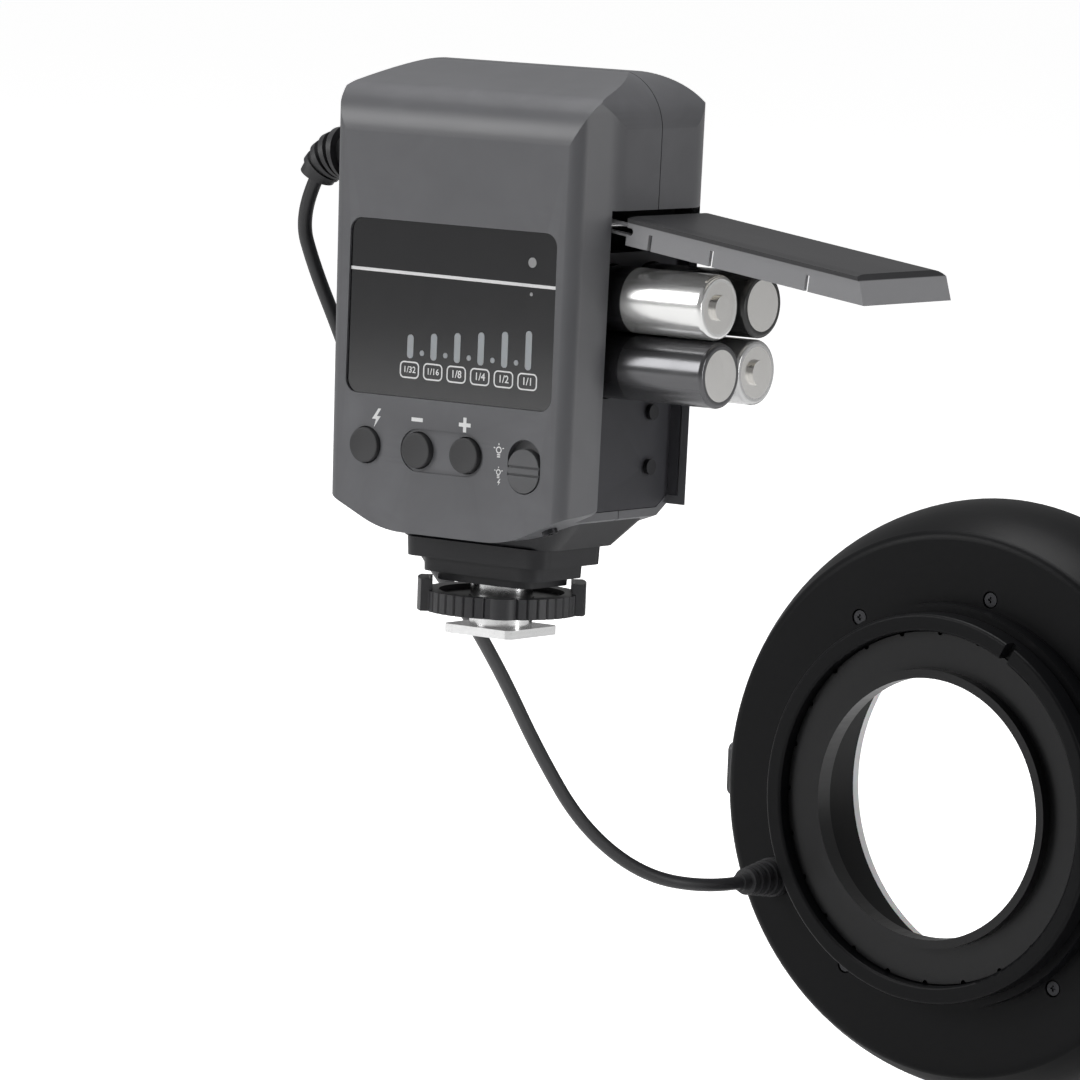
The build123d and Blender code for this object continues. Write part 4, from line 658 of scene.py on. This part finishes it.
class FLASH_OT_casing(bpy.types.Operator):
    """Finish the casing halves, base, door and their fasteners."""

    bl_idname = "flash.casing"
    bl_label = "Casing, base and door"

    def execute(self, context):
        settings = context.scene.flash_casing
        scale = 1.0 / settings.grain_size
        casing = moulded_finish("casing_plastic", settings.casing_color, 0.38, scale)
        for name in ("rear_casing", "front_casing"):
            dress(name, casing)
        base = moulded_finish("base_plastic", settings.base_color, 0.42, scale)
        base.set(Specular_IOR_Level=0.3)
        for name in ("base_shell", "foot_insulator"):
            dress(name, base)
        dress("lock_ring", moulded_finish("lock_ring_plastic", settings.base_color, 0.4, scale * 1.3))
        chamber = moulded_finish("chamber_plastic", shade(settings.base_color, 2.4), 0.5, scale)
        dress("battery_chamber", chamber.set(Specular_IOR_Level=0.25))
        dress("battery_door", self.door_finish(settings, scale))
        screw = metal_finish("screw_steel", (0.045, 0.045, 0.048), 0.4)
        for name in ("casing_screws", "chamber_screws", "ring_screws"):
            dress(name, screw)
        dress("hinge_pin", metal_finish("pin_steel", (0.6, 0.6, 0.61), 0.2, (1.0, 0.05, 1.0)))
        return {"FINISHED"}

    def door_finish(self, settings, scale):
        """Charcoal outside, with painted light on the flange below the plate as a lighter grey."""
        finish = moulded_finish("door_plastic", settings.door_color, 0.42, scale)
        along, upward = math.sin(DOOR_DROOP), math.cos(DOOR_DROOP)
        vertices = nodes["battery_door"].data.vertices
        top = max(vertex.co.x * along + vertex.co.z * upward for vertex in vertices)
        height = math_node(
            finish.tree,
            "ADD",
            math_node(finish.tree, "MULTIPLY", object_axis(finish, "X"), along),
            math_node(finish.tree, "MULTIPLY", object_axis(finish, "Z"), upward),
        )
        edge = top - DOOR_PLATE
        plate = step(finish, height, edge - DOOR_EDGE, edge + DOOR_EDGE)
        outside = finish.shader.inputs["Base Color"].links[0].from_socket
        # Below the plate the lighter grey is painted light on the flange
        finish.link(finish.mix(plate, settings.flange_painted_light_color, outside), "Base Color")
        return finish


class FLASH_OT_metal_parts(bpy.types.Operator):
    """Finish the foot, contacts, springs and the pieces inside."""

    bl_idname = "flash.metal_parts"
    bl_label = "Foot, contacts and inner parts"

    def execute(self, context):
        foot = metal_finish("foot_steel", (0.72, 0.72, 0.72), 0.22, (1.0, 0.04, 1.0))
        for name in ("hot_shoe_foot", "lock_pin"):
            dress(name, foot)
        nickel = metal_finish("contact_nickel", (0.78, 0.75, 0.68), 0.18)
        for name in ("centre_contact", "door_contacts", "cell_springs", "cell_terminals"):
            dress(name, nickel)
        board = gloss_finish("solder_resist", (0.012, 0.09, 0.035), 0.35)
        for name in ("circuit_board", "ring_board"):
            dress(name, board)
        dress("flash_capacitor", gloss_finish("capacitor_sleeve", (0.015, 0.015, 0.018), 0.3))
        return {"FINISHED"}


class FLASH_OT_cells(bpy.types.Operator):
    """Finish the four cells with plain two-tone wrappers and metal ends."""

    bl_idname = "flash.cells"
    bl_label = "Cells"

    def execute(self, context):
        for name, nub_outside, near_color, far_color, near_metal in (
            ("cell_upper_near", True, (0.055, 0.055, 0.06), (0.82, 0.82, 0.81), 0.75),
            ("cell_upper_far", False, (0.03, 0.03, 0.03), (0.03, 0.03, 0.03), 0.2),
            ("cell_lower_near", False, (0.06, 0.06, 0.065), (0.12, 0.12, 0.125), 0.7),
            ("cell_lower_far", True, (0.03, 0.03, 0.03), (0.6, 0.6, 0.6), 0.6),
        ):
            dress(name, self.wrapper(name, nub_outside, near_color, far_color, near_metal))
        return {"FINISHED"}

    def wrapper(self, name, nub_outside, inner_color, outer_color, sheen):
        """Wrapper whose inner and outer halves differ, with bare steel ends."""
        low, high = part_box(name)
        middle_y, middle_z = (low[1] + high[1]) / 2, (low[2] + high[2]) / 2
        finish = Finish(name + "_wrapper", outer_color, 0.22, sheen)
        along = object_axis(finish, "X")
        across = math_node(finish.tree, "SUBTRACT", object_axis(finish, "Y"), middle_y)
        upward = math_node(finish.tree, "SUBTRACT", object_axis(finish, "Z"), middle_z)
        radius = math_node(
            finish.tree,
            "SQRT",
            math_node(
                finish.tree,
                "ADD",
                math_node(finish.tree, "MULTIPLY", across, across),
                math_node(finish.tree, "MULTIPLY", upward, upward),
            ),
        )
        half = low[0] + CELL_SEAM_SHARE * (high[0] - low[0])
        seam = step(finish, along, half - CELL_SEAM, half + CELL_SEAM)
        halves = finish.mix(seam, inner_color, outer_color)
        # Bare metal: anything well inside the wrapper's lip on either end
        bare = math_node(finish.tree, "LESS_THAN", radius, CELL_BARE_RADIUS)
        finish.link(finish.mix(bare, halves, (0.75, 0.74, 0.72)), "Base Color")
        finish.link(math_node(finish.tree, "MAXIMUM", bare, sheen), "Metallic")
        worn = finish.place("handling_wear", Roughness=0.22, Smear=0.18)
        finish.link(worn.outputs["Roughness"], "Roughness")
        return finish


class FLASH_OT_controls(bpy.types.Operator):
    """Finish the buttons, the lamp switch and the release buttons."""

    bl_idname = "flash.controls"
    bl_label = "Buttons and switch"

    def execute(self, context):
        rubber = moulded_finish("button_rubber", (0.035, 0.035, 0.037), 0.6, 3500.0)
        for name in ("test_button", "minus_button", "plus_button"):
            dress(name, rubber)
        dress("lamp_switch", moulded_finish("switch_plastic", (0.085, 0.086, 0.09), 0.5))
        release = moulded_finish("release_plastic", (0.045, 0.045, 0.048), 0.45)
        for name in ("release_button_left", "release_button_right"):
            dress(name, release)
        return {"FINISHED"}


class FLASH_OT_panel(bpy.types.Operator):
    """Finish the display panel and print its line, numbers and symbols."""

    bl_idname = "flash.panel"
    bl_label = "Display panel and print"

    def execute(self, context):
        settings = context.scene.flash_panel
        self.thickness = settings.print_thickness
        panel = gloss_finish("panel_gloss", settings.panel_color, 0.09, 0.06)
        panel.set(Coat_Weight=0.6, Coat_Roughness=0.05)
        dress("display_panel", panel)
        guide = gloss_finish("guide_frosted", settings.guide_color, 0.35, 0.05, Subsurface_Weight=0.15)
        dress("level_guides", guide)
        dress("status_lamps", gloss_finish("lamp_lens", (0.33, 0.33, 0.335), 0.2))
        ink = gloss_finish("printed_white", settings.print_color, 0.4, 0.05)
        self.ink = ink.material
        self.print_line(settings.line_width)
        self.print_labels()
        self.print_symbols()
        return {"FINISHED"}

    def print_line(self, width):
        """Dividing line right across the panel."""
        half = Vector((0, 0, width / 2))
        corners = [LINE_LEFT - half, LINE_RIGHT - half, LINE_RIGHT + half, LINE_LEFT + half]
        outline = [(corner.x, corner.z) for corner in corners]
        mesh = prism_mesh("panel_line", [outline], PANEL_FACE_Y, self.thickness)
        new_piece("panel_line", mesh, self.ink, UNIT_BODY)

    def print_labels(self):
        """Power steps in rounded boxes under the bars."""
        meshes = []
        for index, words in enumerate(LABELS):
            centre_x = BAR_FIRST_X + index * BAR_PITCH
            boxes = rounded_frame(centre_x, LABEL_Z, LABEL_WIDTH, LABEL_HEIGHT, LABEL_CORNER, LABEL_LINE)
            meshes.append(prism_mesh("label_box", boxes, PANEL_FACE_Y, self.thickness))
            size = SHORT_TEXT_SIZE if len(words) == 3 else LONG_TEXT_SIZE
            text = text_mesh("label_text", words, centre_x, LABEL_Z, size, PANEL_FACE_Y, self.thickness)
            meshes.append(text)
        new_piece("power_labels", joined_mesh("power_labels", meshes), self.ink, UNIT_BODY)

    def print_symbols(self):
        """Flash, minus and plus above the buttons, a lamp sign and a lamp over a bolt beside the switch.
        """
        outlines = [self.lightning(-19.3 * MM, 46.9 * MM, 4.2 * MM)]
        outlines += self.bars(-8.0 * MM, 47.45 * MM, 3.1 * MM, 0.85 * MM, False)
        outlines += self.bars(5.1 * MM, 47.4 * MM, 3.2 * MM, 0.85 * MM, True)
        outlines += self.lamp_sign(14.6 * MM, 42.5 * MM, 3.2 * MM)
        outlines += self.lamp_flash_sign(14.7 * MM, 37.0 * MM, 3.6 * MM)
        mesh = prism_mesh("unit_symbols", outlines, CASING_FACE_Y, self.thickness)
        new_piece("unit_symbols", mesh, self.ink, UNIT_BODY)

    def lightning(self, centre_x, centre_z, height):
        """A bolt as a closed outline."""
        return [(centre_x + x * height, centre_z + z * height) for x, z in BOLT_SHARES]

    def bars(self, centre_x, centre_z, length, width, crossed):
        """A minus, or a plus where it is crossed."""
        half, thin = length / 2, width / 2
        flat = [
            (centre_x - half, centre_z - thin),
            (centre_x + half, centre_z - thin),
            (centre_x + half, centre_z + thin),
            (centre_x - half, centre_z + thin),
        ]
        if not crossed:
            return [flat]
        top = [(centre_x - thin, centre_z + thin), (centre_x + thin, centre_z + thin)]
        top += [(centre_x + thin, centre_z + half), (centre_x - thin, centre_z + half)]
        low = [(x, 2 * centre_z - z) for x, z in reversed(top)]
        return [flat, top, low]

    def lamp_sign(self, centre_x, centre_z, height):
        """A small lamp: round bulb over two base lines, with short rays."""
        outlines = []
        bulb = height * 0.24
        outlines += rounded_frame(
            centre_x, centre_z + height * 0.1, 2 * bulb, 2 * bulb, bulb, bulb * 0.34
        )
        for lift in (-0.22, -0.36):
            outlines += self.bars(centre_x, centre_z + height * lift, height * 0.26, height * 0.09, False)
        for angle in (20, 90, 160):
            turn = math.radians(angle)
            along = Vector((math.cos(turn), math.sin(turn)))
            side = Vector((-along.y, along.x)) * height * 0.035
            start = Vector((centre_x, centre_z + height * 0.1)) + along * height * 0.33
            end = start + along * height * 0.13
            ray = (start - side, end - side, end + side, start + side)
            outlines.append([tuple(corner) for corner in ray])
        return outlines

    def lamp_flash_sign(self, centre_x, centre_z, height):
        """The same lamp over a small bolt."""
        outlines = self.lamp_sign(centre_x, centre_z + height * 0.22, height * 0.72)
        outlines.append(self.lightning(centre_x + height * 0.05, centre_z - height * 0.32, height * 0.42))
        return outlines


class FLASH_OT_ring(bpy.types.Operator):
    """Finish the ring head, its diffuser, tubes and adapter ring."""

    bl_idname = "flash.ring"
    bl_label = "Ring head"

    def execute(self, context):
        settings = context.scene.flash_ring
        shell = moulded_finish("ring_plastic", settings.ring_color, 0.4, 2600.0)
        shell.set(Specular_IOR_Level=0.12)
        for name in ("ring_rear_shell", "ring_front_bezel"):
            dress(name, shell)
        dress("diffuser", self.diffuser_finish(settings))
        dress("reflector", metal_finish("reflector_foil", (0.85, 0.85, 0.86), 0.15))
        glass = Finish("tube_glass", (0.95, 0.97, 1.0), 0.05)
        glass.set(Transmission_Weight=0.9, IOR=1.47)
        for name in ("flash_tube_left", "flash_tube_right"):
            dress(name, glass)
        dress("focus_lamps", gloss_finish("focus_lens", (0.85, 0.82, 0.6), 0.1))
        adapter = metal_finish("anodised_black", settings.adapter_color, 0.35, (1.0, 0.1, 1.0))
        dress("adapter_ring", adapter)
        adapter.set(Metallic=0.4)
        return {"FINISHED"}

    def diffuser_finish(self, settings):
        """Frosted plastic with fine rings pressed into it."""
        finish = Finish("diffuser_frosted", settings.diffuser_color, 0.3)
        place = finish.tree.nodes.new("ShaderNodeTexCoord")
        shift = finish.tree.nodes.new("ShaderNodeVectorMath")
        shift.inputs[1].default_value = (0, 0, 0.055)
        shift.operation = "ADD"
        finish.tree.links.new(place.outputs["Object"], shift.inputs[0])
        rings = finish.tree.nodes.new("ShaderNodeTexWave")
        rings.wave_type = "RINGS"
        rings.rings_direction = "Y"
        rings.wave_profile = "TRI"
        rings.inputs["Scale"].default_value = 160.0
        finish.tree.links.new(shift.outputs[0], rings.inputs["Vector"])
        finish.bump(rings.outputs["Fac"], 0.08 * MM)
        grain = finish.place("moulded_grain", Scale=1800.0, Roughness=0.3, Spread=0.1)
        finish.link(grain.outputs["Roughness"], "Roughness")
        finish.set(Subsurface_Weight=0.3, Subsurface_Scale=2 * MM)
        return finish


class FLASH_OT_cord(bpy.types.Operator):
    """Run the cord between the two boots and finish its rubber."""

    bl_idname = "flash.cord"
    bl_label = "Cord and boots"

    def execute(self, context):
        settings = context.scene.flash_cord
        rubber = moulded_finish("cord_rubber", settings.jacket_color, 0.42, 3200.0, wear=0.2)
        curve = bpy.data.curves.new("flash_cord", "CURVE")
        curve.dimensions = "3D"
        spline = curve.splines.new("NURBS")
        spline.points.add(len(CORD_ROUTE) - 1)
        for point, place in zip(spline.points, CORD_ROUTE):
            point.co = (*place, 1.0)
        spline.order_u = 3
        spline.use_endpoint_u = True
        spline.resolution_u = 16
        curve.bevel_depth = settings.diameter / 2
        curve.bevel_resolution = 8
        curve.materials.append(rubber.material)
        cord = bpy.data.objects.new("flash_cord", curve)
        context.collection.objects.link(cord)
        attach(cord, UNIT_BODY)
        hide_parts("ring_cord")
        boot = moulded_finish("boot_rubber", settings.jacket_color, 0.5, 3200.0, wear=0.25)
        for name in ("unit_cable_boot", "ring_cable_boot"):
            dress(name, boot)
        return {"FINISHED"}


class FLASH_OT_stage(bpy.types.Operator):
    """Set the camera, the pale floor and the soft studio lights."""

    bl_idname = "flash.stage"
    bl_label = "Stage"

    def execute(self, context):
        settings = context.scene.flash_stage
        self.place_camera(context, settings)
        self.lay_floor(context, settings)
        self.hang_lights(context)
        self.light_world(context)
        context.scene.view_settings.view_transform = "Standard"
        return {"FINISHED"}

    def place_camera(self, context, settings):
        """Camera at the photograph's angle and distance."""
        azimuth, elevation, roll = settings.azimuth, settings.elevation, settings.roll
        back = Vector(
            (
                math.sin(azimuth) * math.cos(elevation),
                -math.cos(azimuth) * math.cos(elevation),
                math.sin(elevation),
            )
        )
        level_right = Vector((math.cos(azimuth), math.sin(azimuth), 0))
        level_up = back.cross(level_right)
        right = level_right * math.cos(roll) + level_up * math.sin(roll)
        up = level_up * math.cos(roll) - level_right * math.sin(roll)
        target = Vector((0, 0, VIEW_CENTRE_Z))
        target += level_right * VIEW_SHIFT_RIGHT - level_up * VIEW_SHIFT_DOWN
        data = bpy.data.cameras.new("photo_camera")
        data.sensor_width = SENSOR_WIDTH
        data.lens = SENSOR_WIDTH * FOCAL_PIXELS / FRAME_PIXELS
        data.clip_start = 0.05
        data.clip_end = 20.0
        camera = bpy.data.objects.new("photo_camera", data)
        context.collection.objects.link(camera)
        turn = Matrix((right, up, back)).transposed()
        camera.matrix_world = Matrix.Translation(target + back * settings.view_distance) @ turn.to_4x4()
        context.scene.camera = camera

    def lay_floor(self, context, settings):
        """Pale floor that shows plain white to the camera and keeps the shadow."""
        low = cad_box[0][2] - settings.floor_gap
        made = bmesh.new()
        bmesh.ops.create_grid(made, x_segments=1, y_segments=1, size=30.0)
        mesh = bpy.data.meshes.new("floor")
        made.to_mesh(mesh)
        made.free()
        floor = bpy.data.objects.new("floor", mesh)
        floor.location = (0, 0, low)
        context.collection.objects.link(floor)
        material = bpy.data.materials.new("floor_white")
        material.use_nodes = True
        shader = material.node_tree.nodes["Principled BSDF"]
        shader.inputs["Base Color"].default_value = (0.9, 0.9, 0.9, 1)
        shader.inputs["Roughness"].default_value = 0.9
        shader.inputs["Specular IOR Level"].default_value = 0.1
        shader.inputs["Emission Color"].default_value = (1, 1, 1, 1)
        tree = material.node_tree
        lift = math_node(tree, "MULTIPLY", background_rays(tree), settings.floor_lift)
        tree.links.new(lift, shader.inputs["Emission Strength"])
        mesh.materials.append(material)

    def hang_lights(self, context):
        """Large soft boxes: a key on the left, a strip on the right and one above."""
        for name, place, aim, size, power in LAMPS:
            data = bpy.data.lights.new(name, "AREA")
            data.shape = "RECTANGLE"
            data.size, data.size_y = size
            data.energy = power
            lamp = bpy.data.objects.new(name, data)
            lamp.location = place
            way = Vector(aim) - Vector(place)
            lamp.rotation_euler = way.to_track_quat("-Z", "Y").to_euler()
            context.collection.objects.link(lamp)

    def light_world(self, context):
        """White to the camera and to reflections, softer light on the object."""
        world = bpy.data.worlds.new("studio_world")
        context.scene.world = world
        world.use_nodes = True
        tree = world.node_tree
        background = tree.nodes["Background"]
        background.inputs["Color"].default_value = (1, 1, 1, 1)
        strength = math_node(tree, "MAXIMUM", background_rays(tree), WORLD_FILL)
        tree.links.new(strength, background.inputs["Strength"])


class FLASH_PT_looks(bpy.types.Panel):
    """Sidebar panel with one button for each group of pieces."""

    bl_idname = "FLASH_PT_looks"
    bl_label = "Ring Flash"
    bl_space_type = "VIEW_3D"
    bl_region_type = "UI"
    bl_category = "Ring Flash"

    def draw(self, context):
        for operator in OPERATORS:
            self.layout.operator(operator.bl_idname)
        for key in SETTINGS:
            box = self.layout.box()
            group = getattr(context.scene, key)
            for prop in group.bl_rna.properties:
                if prop.identifier not in ("rna_type", "name"):
                    box.prop(group, prop.identifier)


OPERATORS = (
    FLASH_OT_shared_groups,
    FLASH_OT_cord,
    FLASH_OT_casing,
    FLASH_OT_metal_parts,
    FLASH_OT_cells,
    FLASH_OT_controls,
    FLASH_OT_panel,
    FLASH_OT_ring,
    FLASH_OT_stage,
)
CLASSES = (*SETTINGS.values(), *OPERATORS, FLASH_PT_looks)


def register():
    """Register the settings, operators and panel."""
    for cls in CLASSES:
        bpy.utils.register_class(cls)
    for key, cls in SETTINGS.items():
        setattr(bpy.types.Scene, key, bpy.props.PointerProperty(type=cls))


def unregister():
    """Undo register."""
    for key in SETTINGS:
        delattr(bpy.types.Scene, key)
    for cls in reversed(CLASSES):
        bpy.utils.unregister_class(cls)


def main():
    """Build everything in order."""
    register()
    for operator in OPERATORS:
        family, name = operator.bl_idname.split(".")
        getattr(getattr(bpy.ops, family), name)()


if __name__ == "__main__":
    main()
